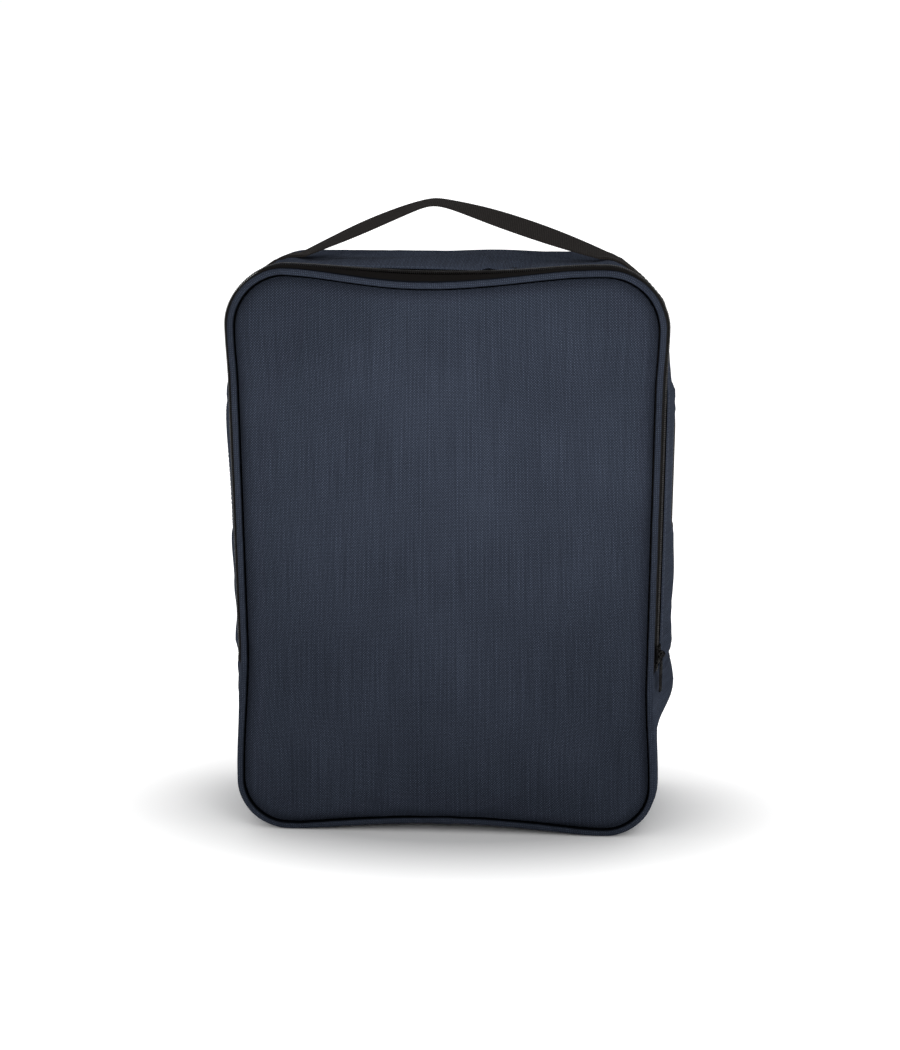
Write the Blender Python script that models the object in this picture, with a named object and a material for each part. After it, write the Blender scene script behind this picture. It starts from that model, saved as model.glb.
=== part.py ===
"""Shoe bag with a three-sided front zip, piped edges, side vents and a webbing handle.

Metres, +Z up. The front faces -Y and the origin is on the floor under the middle of the bag.

Almost every piece runs round the bag, so a piece is a cross-section swept along the bag's
outline. The outline is the front seam's line: a rounded rectangle in the XZ plane that the
stations follow, pulled in a little at the waist, sagging at the top and arched at the base.
A section's points are (out, back): how far outside the seam line, and how far behind the
face of the front panel.
"""

import math

import bmesh
import bpy
import numpy as np
from mathutils import Vector

# Overall size, seam line to seam line
HALF_WIDTH = 0.1362
BASE_Z = 0.0045
TOP_Z = 0.3755
DEPTH = 0.120
FRONT_Y = -DEPTH / 2
TOP_RADIUS = 0.034
BASE_RADIUS = 0.030

# Half width of the seam line by height: full at the base, waisted, full again at the top
RIGHT_SIDE = ((0.0345, 0.1362), (0.1035, 0.1332), (0.2985, 0.1352), (0.3435, 0.1370))
LEFT_SIDE = ((0.0345, 0.1366), (0.1285, 0.1321), (0.2985, 0.1350), (0.3435, 0.1368))

# Sag of the top edge and lift of the base edge, both strongest at the front
TOP_SAG = 0.0086
TOP_SAG_X = -0.014
TOP_SAG_REACH_LEFT = 0.095
TOP_SAG_REACH_RIGHT = 0.112
TOP_SAG_FADE = 4.5
BASE_LIFT = 0.0062
BASE_LIFT_REACH = 0.100
BASE_LIFT_FADE = 8.0

# How far the back's top right corner gives way
REAR_SLUMP = 0.0045

# Where the front panel folds down, and where the zip ends at the lower gusset
FOLD_Z = 0.1378
FOLD_AXIS_PROUD = 0.0006
ZIP_END_Z = 0.1125
GAP = 0.0003

# Cloth
CLOTH = 0.0010
TAPE = 0.0006
PANEL_CROWN = 0.0036
BACK_CROWN = 0.0020
PANEL_INSET = 0.0001
PANEL_RINGS = (1.0, 0.9, 0.7, 0.45, 0.2)
PANEL_FOLD_STEPS = 8

# Front seam: piping bead, then the tape or gusset turned back under itself
BEAD_OUT = 0.0023
BEAD_BACK = 0.0016
BEAD_RADIUS = 0.0021
BEAD_WALL = 0.0006
BEAD_ARC = (180, 475)
BEAD_STEPS = 6
CORD_RADIUS = 0.0012
CORD_SIDES = 6
ALLOWANCE_END = 0.0074
RUN_OUT = 0.0043
RUN_BACK = 0.0042
TURN = 0.0011

# Zip: distance of the coil's middle behind the front face, half sizes across the chain
COIL_BACK = 0.0124
COIL_INNER = 0.0006
COIL_OUTER = 0.0030
COIL_HALF_HEIGHT = 0.0011
TAPE_CLEAR = 0.0033
GUSSET_EDGE = 0.0195
TAPE_UNDERLAP = 0.0270
UNDERLAP_CLEAR = 0.0008
EDGE_PROUD = 0.0013
FLARE_TOP = 0.16
FLARE_SAG = 0.30
FLARE_SAG_X = -0.022
FLARE_SAG_REACH = 0.085
FLARE_CORNER = -0.10
FLARE_RIGHT = 0.22
FLARE_LEFT = 0.36
FLARE_START = (0.052, 0.100)

# How far the cloth edge behind the zip is drawn in below the zip's own slope
TUCK_LEFT = 0.0024
TUCK_RIGHT = 0.0018
TUCK_RIGHT_START = (0.288, 0.335)
TUCK_TOP = 0.0012
TUCK_CORNER = 0.0026

# How far the gussets belly out past the piping, by height
BELLY_RIGHT = 0.0085
BELLY_LEFT = 0.0090
BELLY_TOP = -0.0010
BELLY_BASE = 0.0020
BELLY_LOW_SIDE = -0.0030
BELLY_START = (0.056, 0.094)
BELLY_END = (0.250, 0.335)
BULGE_RIGHT = 0.0030
BULGE_Z = 0.090
BULGE_REACH = 0.020
GUSSET_STEPS = 9
LOWER_GUSSET_BEND = 0.0110

# Stations along each straight and corner of the outline
SIDE_STEPS = 12
LOWER_SIDE_STEPS = 4
CORNER_STEPS = 5
TOP_STEPS = 10
BASE_STEPS = 8

# Side vents
VENT_Z = 0.242
VENT_BACK = 0.062
VENT_HEIGHT = 0.080
VENT_DEPTH = 0.050
VENT_RADIUS = 0.014
VENT_LAP = 0.007
VENT_CLEAR = 0.0006
VENT_THICKNESS = 0.0006
VENT_STEPS = 8
VENT_CORNER_STEPS = 4
VENT_CUT_X = (0.130, 0.165)

# Handle
STRAP_Y = 0.004
STRAP_WIDTH = 0.025
STRAP_THICKNESS = 0.0015
CREST_X = -0.0076
CREST_Z = 0.4174
CREST_ROUND = 0.010
LEAVE_X = 0.1175
LEAVE_Z = 0.3782
STRAP_RISE_POWER = 1.12
STRAP_STUB_X = 0.070
STRAP_STUB_LAP = 0.006
STRAP_ROLL_LEFT = 12.0
STRAP_ROLL_RIGHT = 23.0
STRAP_STEPS = 20
STUB_STEPS = 5
HANDLE_AXIS_Z = 0.394
SEWN_ARC = (12.0, 64.0)
SEWN_STEPS = 7

# Slider, along the chain (s), across it (t) and away from the bag (w)
SLIDER_Z = 0.1250
SLIDER_HALF_LENGTH = 0.0060
SLIDER_HALF_WIDTH = 0.0043
PLATE_INNER = 0.0015
PLATE_OUTER = 0.0024
PLATE_ENDS = ((-1.0, 0.72), (-0.7, 1.0), (0.8, 1.0), (1.0, 0.80))
FLANGE_INNER = 0.0036
FLANGE_REACH = 0.0007
ROOT_DEPTH = 0.0003
POST_HALF_WIDTH = 0.00028
POST_START = 0.0020
POST_END = 0.0054
BRIDGE_HEIGHT = 0.0037
BRIDGE_INNER = 0.0014
BRIDGE_OUTER = 0.0025
BRIDGE_HALF_WIDTH = 0.0011
BRIDGE_STEPS = 9
PULL_HALF_WIDTH = 0.0030
PULL_NECK_HALF_WIDTH = 0.0024
PULL_CROWN_HALF_WIDTH = 0.0017
PULL_THICKNESS = 0.0010
PULL_LENGTH = 0.0255
PULL_HEAD = 0.0006
PULL_SHOULDER = (-0.0062, -0.0082)
PULL_CORNER = 0.0010
EYE_FAR = 0.0042
EYE_HALF_WIDTH = 0.0015
SLOT_START = 0.0140
SLOT_END = 0.0225
SLOT_HALF_WIDTH = 0.0009

# Seam binding inside the bag
BINDING = 0.0005
BINDING_START = 0.0056
BINDING_GAP = 0.0003
BINDING_IN = 0.0015
BINDING_OUT = 0.0024

# Care label
LABEL_Z = 0.295
LABEL_HEIGHT = 0.024
LABEL_LENGTH = 0.036
LABEL_THICKNESS = 0.0004
LABEL_LAP = 0.0020

NAVY = (0.040, 0.052, 0.080)
NAVY_LIGHT = (0.045, 0.058, 0.088)
BLACK_CLOTH = (0.012, 0.011, 0.011)
BLACK_MESH = (0.008, 0.008, 0.009)
GUNMETAL = (0.12, 0.12, 0.125)
WHITE_CLOTH = (0.70, 0.70, 0.68)


def clear_scene():
    for obj in list(bpy.data.objects):
        bpy.data.objects.remove(obj)


def smooth(value, start, end):
    share = min(max((value - start) / (end - start), 0.0), 1.0)
    return share * share * (3 - 2 * share)


def blend(low, high, share):
    return low + (high - low) * share


# ---------------------------------------------------------------- materials

def material(name, colour, roughness, metallic=0.0):
    made = bpy.data.materials.get(name)
    if made:
        return made
    made = bpy.data.materials.new(name)
    made.use_nodes = True
    shader = made.node_tree.nodes["Principled BSDF"]
    shader.inputs["Base Color"].default_value = (*colour, 1.0)
    shader.inputs["Roughness"].default_value = roughness
    shader.inputs["Metallic"].default_value = metallic
    made.diffuse_color = (*colour, 1.0)
    return made


def navy_cloth():
    return material("navy_polyester", NAVY, 0.78)


def navy_piping():
    return material("navy_piping_cloth", NAVY_LIGHT, 0.75)


def black_tape():
    return material("black_zip_tape", BLACK_CLOTH, 0.85)


def black_coil():
    return material("black_nylon_coil", BLACK_CLOTH, 0.45)


def black_webbing():
    return material("black_webbing", BLACK_CLOTH, 0.80)


def black_mesh():
    return material("black_vent_mesh", BLACK_MESH, 0.80)


def gunmetal():
    return material("gunmetal", GUNMETAL, 0.35, 1.0)


def filler_cord():
    return material("filler_cord", WHITE_CLOTH, 0.85)


def binding_cloth():
    return material("black_binding", BLACK_CLOTH, 0.88)


def label_cloth():
    return material("label_cloth", WHITE_CLOTH, 0.80)


# ---------------------------------------------------------------- outline

def half_width(side, z):
    """The seam line's half width at a height: smooth at both ends, straight between them."""
    (z0, w0), (z1, w1), (z2, w2), (z3, w3) = side
    if z < z1:
        return blend(w0, w1, smooth(z, z0, z1))
    if z < z2:
        return blend(w1, w2, (z - z1) / (z2 - z1))
    return blend(w2, w3, smooth(z, z2, z3))


def shaped(x, z, back):
    """A point of the plain rounded rectangle moved to where the soft bag has it."""
    side = RIGHT_SIDE if x > 0 else LEFT_SIDE
    wide = x * half_width(side, z) / HALF_WIDTH
    share = min(max((back - ALLOWANCE_END) / (DEPTH - ALLOWANCE_END), 0.0), 1.0)
    reach = TOP_SAG_REACH_RIGHT if x > TOP_SAG_X else TOP_SAG_REACH_LEFT
    across = max(1 - ((x - TOP_SAG_X) / reach) ** 2, 0.0)
    sag = TOP_SAG * across**2 * (1 - share) ** TOP_SAG_FADE * (z > TOP_Z / 2)
    along = max(1 - (x / BASE_LIFT_REACH) ** 2, 0.0)
    lift = BASE_LIFT * along**1.3 * (1 - share) ** BASE_LIFT_FADE * (z < TOP_Z / 2)
    corner_x = min(max((x - HALF_WIDTH) / TOP_RADIUS + 1, 0.0), 1.0)
    corner_z = min(max((z - TOP_Z) / TOP_RADIUS + 1, 0.0), 1.0)
    slump = 2 * REAR_SLUMP * share * corner_x * corner_z
    return wide - slump, z - sag + lift - slump


def flat_normal(x, z):
    """Outward direction of the plain rounded rectangle at one of its points."""
    top = z > TOP_Z / 2
    radius = TOP_RADIUS if top else BASE_RADIUS
    core_x = min(max(x, -HALF_WIDTH + radius), HALF_WIDTH - radius)
    core_z = min(max(z, BASE_Z + BASE_RADIUS), TOP_Z - TOP_RADIUS)
    length = math.hypot(x - core_x, z - core_z)
    return (x - core_x) / length, (z - core_z) / length


def outward(station, back):
    """Outward direction of the shaped outline, square to it in the XZ plane."""
    x, z = station
    nx, nz = flat_normal(x, z)
    step = 1e-5
    before = shaped(x + nz * step, z - nx * step, back)
    after = shaped(x - nz * step, z + nx * step, back)
    along = (after[0] - before[0], after[1] - before[1])
    length = math.hypot(*along)
    return along[1] / length, -along[0] / length


def place(station, out, back):
    """World point at a distance outside the seam line and behind the front face."""
    x, z = shaped(*station, back)
    nx, nz = outward(station, back)
    return Vector((x + nx * out, FRONT_Y + back, z + nz * out))


def floor_limit(station, back):
    """How far out a face can stand before it would go through the floor."""
    nz = outward(station, back)[1]
    if nz > -0.05:
        return math.inf
    return shaped(*station, back)[1] / -nz


def line(start, end, steps):
    return [
        (blend(start[0], end[0], i / steps), blend(start[1], end[1], i / steps))
        for i in range(steps)
    ]


def arc(centre, radius, start, end, steps):
    angles = [math.radians(blend(start, end, i / steps)) for i in range(steps)]
    return [(centre[0] + radius * math.cos(a), centre[1] + radius * math.sin(a)) for a in angles]


def upper_run(bottom_z):
    """Stations from a height on the right, over the top, to the same height on the left."""
    side_top = TOP_Z - TOP_RADIUS
    core = HALF_WIDTH - TOP_RADIUS
    stations = line((HALF_WIDTH, bottom_z), (HALF_WIDTH, side_top), SIDE_STEPS)
    stations += arc((core, side_top), TOP_RADIUS, 0, 90, CORNER_STEPS)
    stations += line((core, TOP_Z), (-core, TOP_Z), TOP_STEPS)
    stations += arc((-core, side_top), TOP_RADIUS, 90, 180, CORNER_STEPS)
    stations += line((-HALF_WIDTH, side_top), (-HALF_WIDTH, bottom_z), SIDE_STEPS)
    return stations + [(-HALF_WIDTH, bottom_z)]


def lower_run(top_z):
    """Stations from a height on the left, across the base, to the same height on the right."""
    side_base = BASE_Z + BASE_RADIUS
    core = HALF_WIDTH - BASE_RADIUS
    stations = line((-HALF_WIDTH, top_z), (-HALF_WIDTH, side_base), LOWER_SIDE_STEPS)
    stations += arc((-core, side_base), BASE_RADIUS, 180, 270, CORNER_STEPS)
    stations += line((-core, BASE_Z), (core, BASE_Z), BASE_STEPS)
    stations += arc((core, side_base), BASE_RADIUS, 270, 360, CORNER_STEPS)
    stations += line((HALF_WIDTH, side_base), (HALF_WIDTH, top_z), LOWER_SIDE_STEPS)
    return stations + [(HALF_WIDTH, top_z)]


def full_run():
    return upper_run(FOLD_Z)[:-1] + lower_run(FOLD_Z)[:-1]


# ---------------------------------------------------------------- surfaces of the sides

def flare(station):
    """Slope at which the zip leaves the piping: most where the top edge sags, none at the base."""
    nx, nz = flat_normal(*station)
    side = (FLARE_RIGHT if nx > 0 else FLARE_LEFT) * smooth(station[1], *FLARE_START)
    sag = max(1 - ((station[0] - FLARE_SAG_X) / FLARE_SAG_REACH) ** 2, 0) ** 2
    top = FLARE_TOP + FLARE_SAG * sag + 4 * FLARE_CORNER * nx * nx
    return side * nx * nx + top * nz * nz * (nz > 0)


def tuck(station):
    """How far the gusset's front edge is drawn in."""
    nx, nz = flat_normal(*station)
    left = TUCK_LEFT * smooth(station[1], *FLARE_START)
    right = TUCK_RIGHT * smooth(station[1], *TUCK_RIGHT_START)
    top = TUCK_TOP + 4 * TUCK_CORNER * nx * nx
    return (right if nx > 0 else left) * nx * nx + top * nz * nz * (nz > 0)


def belly(station):
    """How far the middle of the gusset stands outside its edges."""
    x, z = station
    side = BELLY_RIGHT if x > 0 else BELLY_LEFT
    nz = flat_normal(x, z)[1]
    rest = BELLY_TOP if z > TOP_Z / 2 else blend(BELLY_LOW_SIDE, BELLY_BASE, nz * nz)
    whole = blend(rest, side, smooth(z, *BELLY_START) * (1 - smooth(z, *BELLY_END)))
    if x > 0:
        whole += BULGE_RIGHT * math.exp(-(((z - BULGE_Z) / BULGE_REACH) ** 2))
    return whole


def tape_out(station, back):
    return RUN_OUT + flare(station) * (back - RUN_BACK)


def gusset_out(station, back):
    """Outer face of the gussets: a straight rise behind the piping, then a belly to the back seam."""
    proud = EDGE_PROUD * smooth(station[1], *FLARE_START)
    edge = tape_out(station, GUSSET_EDGE) + proud - tuck(station)
    if back < GUSSET_EDGE:
        out = blend(RUN_OUT, edge, (back - RUN_BACK) / (GUSSET_EDGE - RUN_BACK))
    else:
        share = (back - GUSSET_EDGE) / (DEPTH - RUN_BACK - GUSSET_EDGE)
        out = blend(edge, RUN_OUT, share) + belly(station) * 4 * share * (1 - share)
    return min(out, floor_limit(station, back))


# ---------------------------------------------------------------- mesh building

def add_object(name, vertices, faces, surface, pivot=None):
    """A mesh object from world points. With a pivot, its parent empty stands on the joint's axis."""
    origin = pivot.location if pivot else Vector((0, 0, 0))
    mesh = bpy.data.meshes.new(name)
    mesh.from_pydata([Vector(v) - origin for v in vertices], [], faces)
    tidy = bmesh.new()
    tidy.from_mesh(mesh)
    bmesh.ops.recalc_face_normals(tidy, faces=tidy.faces)
    tidy.to_mesh(mesh)
    tidy.free()
    mesh.materials.append(surface)
    obj = bpy.data.objects.new(name, mesh)
    bpy.context.scene.collection.objects.link(obj)
    obj.parent = pivot
    return obj


def add_pivot(name, location):
    pivot = bpy.data.objects.new(name, None)
    pivot.empty_display_size = 0.02
    pivot.location = location
    bpy.context.scene.collection.objects.link(pivot)
    return pivot


def loft(name, rings, closed, surface, pivot=None):
    """Skins a row of equal rings: into a hoop when closed, else with an end face at each end."""
    size = len(rings[0])
    vertices = [point for ring in rings for point in ring]
    faces = []
    spans = len(rings) if closed else len(rings) - 1
    for i in range(spans):
        here, there = i * size, (i + 1) % len(rings) * size
        for j in range(size):
            k = (j + 1) % size
            faces.append((here + j, here + k, there + k, there + j))
    if not closed:
        faces.append(tuple(range(size)))
        faces.append(tuple(range(len(vertices) - size, len(vertices))))
    return add_object(name, vertices, faces, surface, pivot)


def add_boolean(target, other, operation):
    """Cuts or joins another shape, which then isn't a piece of its own."""
    modifier = target.modifiers.new(other.name, "BOOLEAN")
    modifier.operation = operation
    modifier.object = other
    other.hide_render = True
    other.hide_set(True)


def sweep(name, stations, section, surface, closed=False, pivot=None):
    """Sweeps a section, a function from a station to its (out, back) points, along the outline."""
    rings = [[place(station, *point) for point in section(station)] for station in stations]
    return loft(name, rings, closed, surface, pivot)


def mirrored(section):
    """The same section at the back seam."""
    return lambda station: [(out, DEPTH - back) for out, back in section(station)]


# ---------------------------------------------------------------- piping and binding

def circle(radius, start, end, steps):
    angles = [math.radians(blend(start, end, i / steps)) for i in range(steps + 1)]
    return [(BEAD_OUT + radius * math.cos(a), BEAD_BACK + radius * math.sin(a)) for a in angles]


def piping_section(_station):
    """The cover: an open ring round the cord, and a leg that is sewn into the seam."""
    outer = circle(BEAD_RADIUS, *BEAD_ARC, BEAD_STEPS)
    inner = circle(BEAD_RADIUS - BEAD_WALL, *BEAD_ARC, BEAD_STEPS)[::-1]
    leg_out = BEAD_OUT - BEAD_RADIUS
    return [(leg_out, ALLOWANCE_END), *outer, *inner, (leg_out + BEAD_WALL, ALLOWANCE_END)]


def cord_section(_station):
    return circle(CORD_RADIUS, 0, 360, CORD_SIDES)[:-1]


def binding_section(_station):
    """A U of tape that wraps the raw edges."""
    end = ALLOWANCE_END + BINDING_GAP
    inner, outer = -BINDING_IN, BINDING_OUT
    return [
        (inner - BINDING, BINDING_START),
        (inner, BINDING_START),
        (inner, end),
        (outer, end),
        (outer, BINDING_START),
        (outer + BINDING, BINDING_START),
        (outer + BINDING, end + BINDING),
        (inner - BINDING, end + BINDING),
    ]


def add_piping(flap):
    upper, lower = upper_run(FOLD_Z + GAP / 2), lower_run(FOLD_Z - GAP / 2)
    for suffix, stations, pivot in (("upper", upper, flap), ("lower", lower, None)):
        sweep(f"front_piping_cover_{suffix}", stations, piping_section, navy_piping(), pivot=pivot)
        sweep(f"front_piping_cord_{suffix}", stations, cord_section, filler_cord(), pivot=pivot)
        sweep(f"front_binding_{suffix}", stations, binding_section, binding_cloth(), pivot=pivot)
    ring = full_run()
    sweep("back_piping_cover", ring, mirrored(piping_section), navy_piping(), closed=True)
    sweep("back_piping_cord", ring, mirrored(cord_section), filler_cord(), closed=True)
    sweep("back_binding", ring, mirrored(binding_section), binding_cloth(), closed=True)


# ---------------------------------------------------------------- panels

def seam_radius_table(back):
    """Middle of the panel, and the distance from it to the seam line by direction."""
    points = np.array([shaped(*station, back) for station in full_run()])
    centre = np.array((0.0, TOP_Z / 2))
    away = points - centre
    angles = np.arctan2(away[:, 1], away[:, 0])
    order = np.argsort(angles)
    return centre, angles[order], np.hypot(*away.T)[order]


def crown_share(x, z, table):
    """1 in the middle of the panel, falling to 0 at its seam."""
    centre, angles, radii = table
    dx, dz = x - centre[0], z - centre[1]
    limit = np.interp(math.atan2(dz, dx), angles, radii, period=2 * math.pi)
    return 1 - min(math.hypot(dx, dz) / limit, 1.0) ** 3


class MeshParts:
    """Points and faces gathered ring by ring."""

    def __init__(self):
        self.vertices = []
        self.faces = []

    def ring(self, points):
        first = len(self.vertices)
        self.vertices.extend(points)
        return list(range(first, len(self.vertices)))

    def bridge(self, first, second, spans):
        """Joins two rings over the first spans of their points."""
        for i in range(spans):
            k = (i + 1) % len(first)
            m = (i + 1) % len(second)
            self.faces.append((first[i], first[k], second[m], second[i]))


def add_panel(name, stations, at_back=False, pivot=None):
    """A cloth panel: a crowned face with a rim turned into the seam.

    The rim follows the stations. A piece that stops at the fold is closed by the straight
    line between the first and the last of them.
    """
    crown = -BACK_CROWN if at_back else PANEL_CROWN
    table = seam_radius_table(DEPTH if at_back else 0.0)

    def edge(out, back):
        back = DEPTH - back if at_back else back
        return [place(station, out, back) for station in stations]

    def along_fold(points):
        steps = 0 if at_back else PANEL_FOLD_STEPS
        return points + [points[-1].lerp(points[0], i / steps) for i in range(1, steps)]

    def shrunk(points, middle, share):
        """The edge drawn in towards the middle and lifted onto the crowned face."""
        ring = []
        for point in points:
            x = blend(middle.x, point.x, share)
            z = blend(middle.z, point.z, share)
            ring.append(Vector((x, point.y - crown * crown_share(x, z, table), z)))
        return ring

    parts = MeshParts()
    faces_edge = []
    for out, back in ((-PANEL_INSET, 0.0), (-PANEL_INSET - CLOTH, CLOTH)):
        points = along_fold(edge(out, back))
        middle = sum(points, Vector()) / len(points)
        rings = [parts.ring(shrunk(points, middle, share)) for share in PANEL_RINGS]
        for first, second in zip(rings, rings[1:]):
            parts.bridge(first, second, len(first))
        parts.faces.append(tuple(rings[-1]))
        faces_edge.append(rings[0])
    outer, inner = faces_edge
    rim_outer = parts.ring(edge(-PANEL_INSET, ALLOWANCE_END))
    rim_inner = parts.ring(edge(-PANEL_INSET - CLOTH, ALLOWANCE_END))
    spans = len(stations) if at_back else len(stations) - 1
    parts.bridge(outer if at_back else outer[:len(stations)], rim_outer, spans)
    parts.bridge(inner if at_back else inner[:len(stations)], rim_inner, spans)
    parts.bridge(rim_outer, rim_inner, spans)
    if not at_back:
        fold_outer, fold_inner = outer[spans:] + outer[:1], inner[spans:] + inner[:1]
        parts.bridge(fold_outer, fold_inner, len(fold_outer) - 1)
        for i in (0, spans):
            parts.faces.append((outer[i], rim_outer[i], rim_inner[i], inner[i]))
    return add_object(name, parts.vertices, parts.faces, navy_cloth(), pivot)


# ---------------------------------------------------------------- gussets, zip and vents

def turned_edge(outer_face, thickness):
    """Front end of a swept cloth: it turns under itself behind the bead and into the seam."""
    return [
        (outer_face - thickness, RUN_BACK + thickness),
        (TURN + thickness, RUN_BACK + thickness),
        (TURN + thickness, ALLOWANCE_END),
        (TURN, ALLOWANCE_END),
        (TURN, RUN_BACK),
    ]


def gusset_backs(start):
    steps = GUSSET_STEPS
    end = DEPTH - RUN_BACK
    return [blend(start, end, i / steps) for i in range(steps + 1)]


def upper_gusset_section(station):
    """Folded front edge over the zip tape, belly, and the edge turned into the back seam."""
    backs = gusset_backs(GUSSET_EDGE)
    outer = [(gusset_out(station, back), back) for back in backs]
    inner = [(out - CLOTH, back) for out, back in outer[:-1]]
    turn = [(out, DEPTH - back) for out, back in turned_edge(RUN_OUT, CLOTH)]
    return outer + turn[::-1] + inner[::-1]


def lower_gusset_section(station):
    """Turned into the seam at both ends."""
    backs = [RUN_BACK, LOWER_GUSSET_BEND] + gusset_backs(GUSSET_EDGE)
    outer = [(gusset_out(station, back), back) for back in backs]
    inner = [(out - CLOTH, back) for out, back in outer[1:-1]]
    front = turned_edge(RUN_OUT, CLOTH)
    back_turn = [(out, DEPTH - back) for out, back in front]
    return outer + back_turn[::-1] + inner[::-1] + front


def front_tape_section(station):
    end = COIL_BACK - TAPE_CLEAR
    outer = [(RUN_OUT, RUN_BACK), (tape_out(station, end), end)]
    inner = [(tape_out(station, end) - TAPE, end)]
    return outer + inner + turned_edge(RUN_OUT, TAPE)


def rear_tape_section(station):
    """From the coil back under the gusset's folded edge."""
    backs = (COIL_BACK + TAPE_CLEAR, GUSSET_EDGE, TAPE_UNDERLAP)
    drop = CLOTH + UNDERLAP_CLEAR
    outer = [
        (tape_out(station, backs[0]), backs[0]),
        (tape_out(station, backs[1]) - tuck(station), backs[1]),
        (gusset_out(station, backs[2]) - drop, backs[2]),
    ]
    return outer + [(out - TAPE, back) for out, back in outer[::-1]]


def coil_section(side):
    """One coil, on its side of the chain's middle line."""
    def section(station):
        slope = flare(station)
        points = []
        half = COIL_HALF_HEIGHT
        corner = 0.6 * half
        inner, outer = COIL_INNER, COIL_OUTER
        shape = (
            (inner, -corner), (inner, corner), (inner + corner, half),
            (outer - corner, half), (outer, corner), (outer, -corner),
            (outer - corner, -half), (inner + corner, -half),
        )
        middle = tape_out(station, COIL_BACK) - TAPE / 2
        for across, height in shape:
            back = side * across
            points.append((middle + slope * back + height, COIL_BACK + back))
        return points
    return section


def add_zip(flap):
    flap_side = upper_run(FOLD_Z + GAP / 2)
    whole = upper_run(ZIP_END_Z + GAP / 2)
    sweep("front_zip_tape", flap_side, front_tape_section, black_tape(), pivot=flap)
    sweep("front_zip_coil", flap_side, coil_section(-1), black_coil(), pivot=flap)
    sweep("rear_zip_tape", whole, rear_tape_section, black_tape())
    sweep("rear_zip_coil", whole, coil_section(1), black_coil())
    for name, x in (("right", HALF_WIDTH), ("left", -HALF_WIDTH)):
        tail = [(x, ZIP_END_Z + GAP / 2), (x, FOLD_Z - GAP / 2)]
        sweep(f"zip_tape_tail_{name}", tail, front_tape_section, black_tape())
        sweep(f"zip_coil_tail_{name}", tail, coil_section(-1), black_coil())


def rounded_outline(half_height, half_depth, radius):
    """Points (back, z) of a rounded rectangle about its own middle."""
    points = []
    for corner in range(4):
        centre_back = (half_depth - radius) * (1 if corner in (0, 3) else -1)
        centre_z = (half_height - radius) * (1 if corner in (0, 1) else -1)
        for i in range(VENT_CORNER_STEPS + 1):
            angle = math.radians(90 * corner + 90 * i / VENT_CORNER_STEPS)
            points.append(
                (centre_back + radius * math.cos(angle), centre_z + radius * math.sin(angle))
            )
    return points


def cut_vents(gusset):
    """Opens the gusset over each vent."""
    outline = rounded_outline(VENT_HEIGHT / 2, VENT_DEPTH / 2, VENT_RADIUS)
    for name, side in (("right", 1), ("left", -1)):
        rings = [
            [Vector((side * x, FRONT_Y + VENT_BACK + back, VENT_Z + z)) for back, z in outline]
            for x in VENT_CUT_X
        ]
        cutter = loft(f"vent_cutter_{name}", rings, False, black_mesh())
        add_boolean(gusset, cutter, "DIFFERENCE")


def vent_section(station):
    """A strip just inside the gusset, wide enough to be sewn round the opening."""
    reach = VENT_DEPTH / 2 + VENT_LAP
    backs = [blend(VENT_BACK - reach, VENT_BACK + reach, i / 4) for i in range(5)]
    drop = CLOTH + VENT_CLEAR
    outer = [(gusset_out(station, back) - drop, back) for back in backs]
    return outer + [(out - VENT_THICKNESS, back) for out, back in outer[::-1]]


def add_gussets():
    gusset = sweep("upper_gusset", upper_run(ZIP_END_Z + GAP / 2), upper_gusset_section, navy_cloth())
    cut_vents(gusset)
    sweep("lower_gusset", lower_run(ZIP_END_Z - GAP / 2), lower_gusset_section, navy_cloth())
    reach = VENT_HEIGHT / 2 + VENT_LAP
    for name, x in (("right", HALF_WIDTH), ("left", -HALF_WIDTH)):
        top = (x, VENT_Z + reach)
        stations = line((x, VENT_Z - reach), top, VENT_STEPS) + [top]
        sweep(f"vent_mesh_{name}", stations, vent_section, black_mesh())


# ---------------------------------------------------------------- slider and pull

class ChainFrame:
    """The slider's own axes: s up the chain, t across it to the back, w away from the bag."""

    def __init__(self, z):
        station = (HALF_WIDTH, z)
        slope = math.atan(flare(station))
        middle = tape_out(station, COIL_BACK) - TAPE / 2
        self.origin = place(station, middle, COIL_BACK)
        above = place((HALF_WIDTH, z + 0.01), middle, COIL_BACK)
        self.s = (above - self.origin).normalized()
        nx, nz = outward(station, COIL_BACK)
        normal = Vector((nx, 0, nz))
        back = Vector((0, 1, 0))
        self.w = math.cos(slope) * normal - math.sin(slope) * back
        self.t = math.sin(slope) * normal + math.cos(slope) * back

    def point(self, s, t, w):
        return self.origin + s * self.s + t * self.t + w * self.w


def frame_prism(frame, name, outline, half_width_t, surface, pivot):
    """A prism across the chain from a side outline in (s, w)."""
    rings = [
        [frame.point(s, t, w) for s, w in outline] for t in (-half_width_t, half_width_t)
    ]
    return loft(name, rings, False, surface, pivot)


def plate_ring(frame, s, side, share):
    """A plate's section across the chain; share thins it towards its ends."""
    face = blend(PLATE_INNER, PLATE_OUTER, share)
    outline = (
        (-SLIDER_HALF_WIDTH, FLANGE_REACH), (-FLANGE_INNER, FLANGE_REACH),
        (-FLANGE_INNER, PLATE_INNER), (FLANGE_INNER, PLATE_INNER),
        (FLANGE_INNER, FLANGE_REACH), (SLIDER_HALF_WIDTH, FLANGE_REACH),
        (SLIDER_HALF_WIDTH, face), (-SLIDER_HALF_WIDTH, face),
    )
    return [frame.point(s, t, side * w) for t, w in outline]


def bridge_arch(radius):
    angles = [math.pi * (1 - i / BRIDGE_STEPS) for i in range(BRIDGE_STEPS + 1)]
    return [(radius * math.cos(a), BRIDGE_HEIGHT + radius * math.sin(a)) for a in angles]


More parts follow.
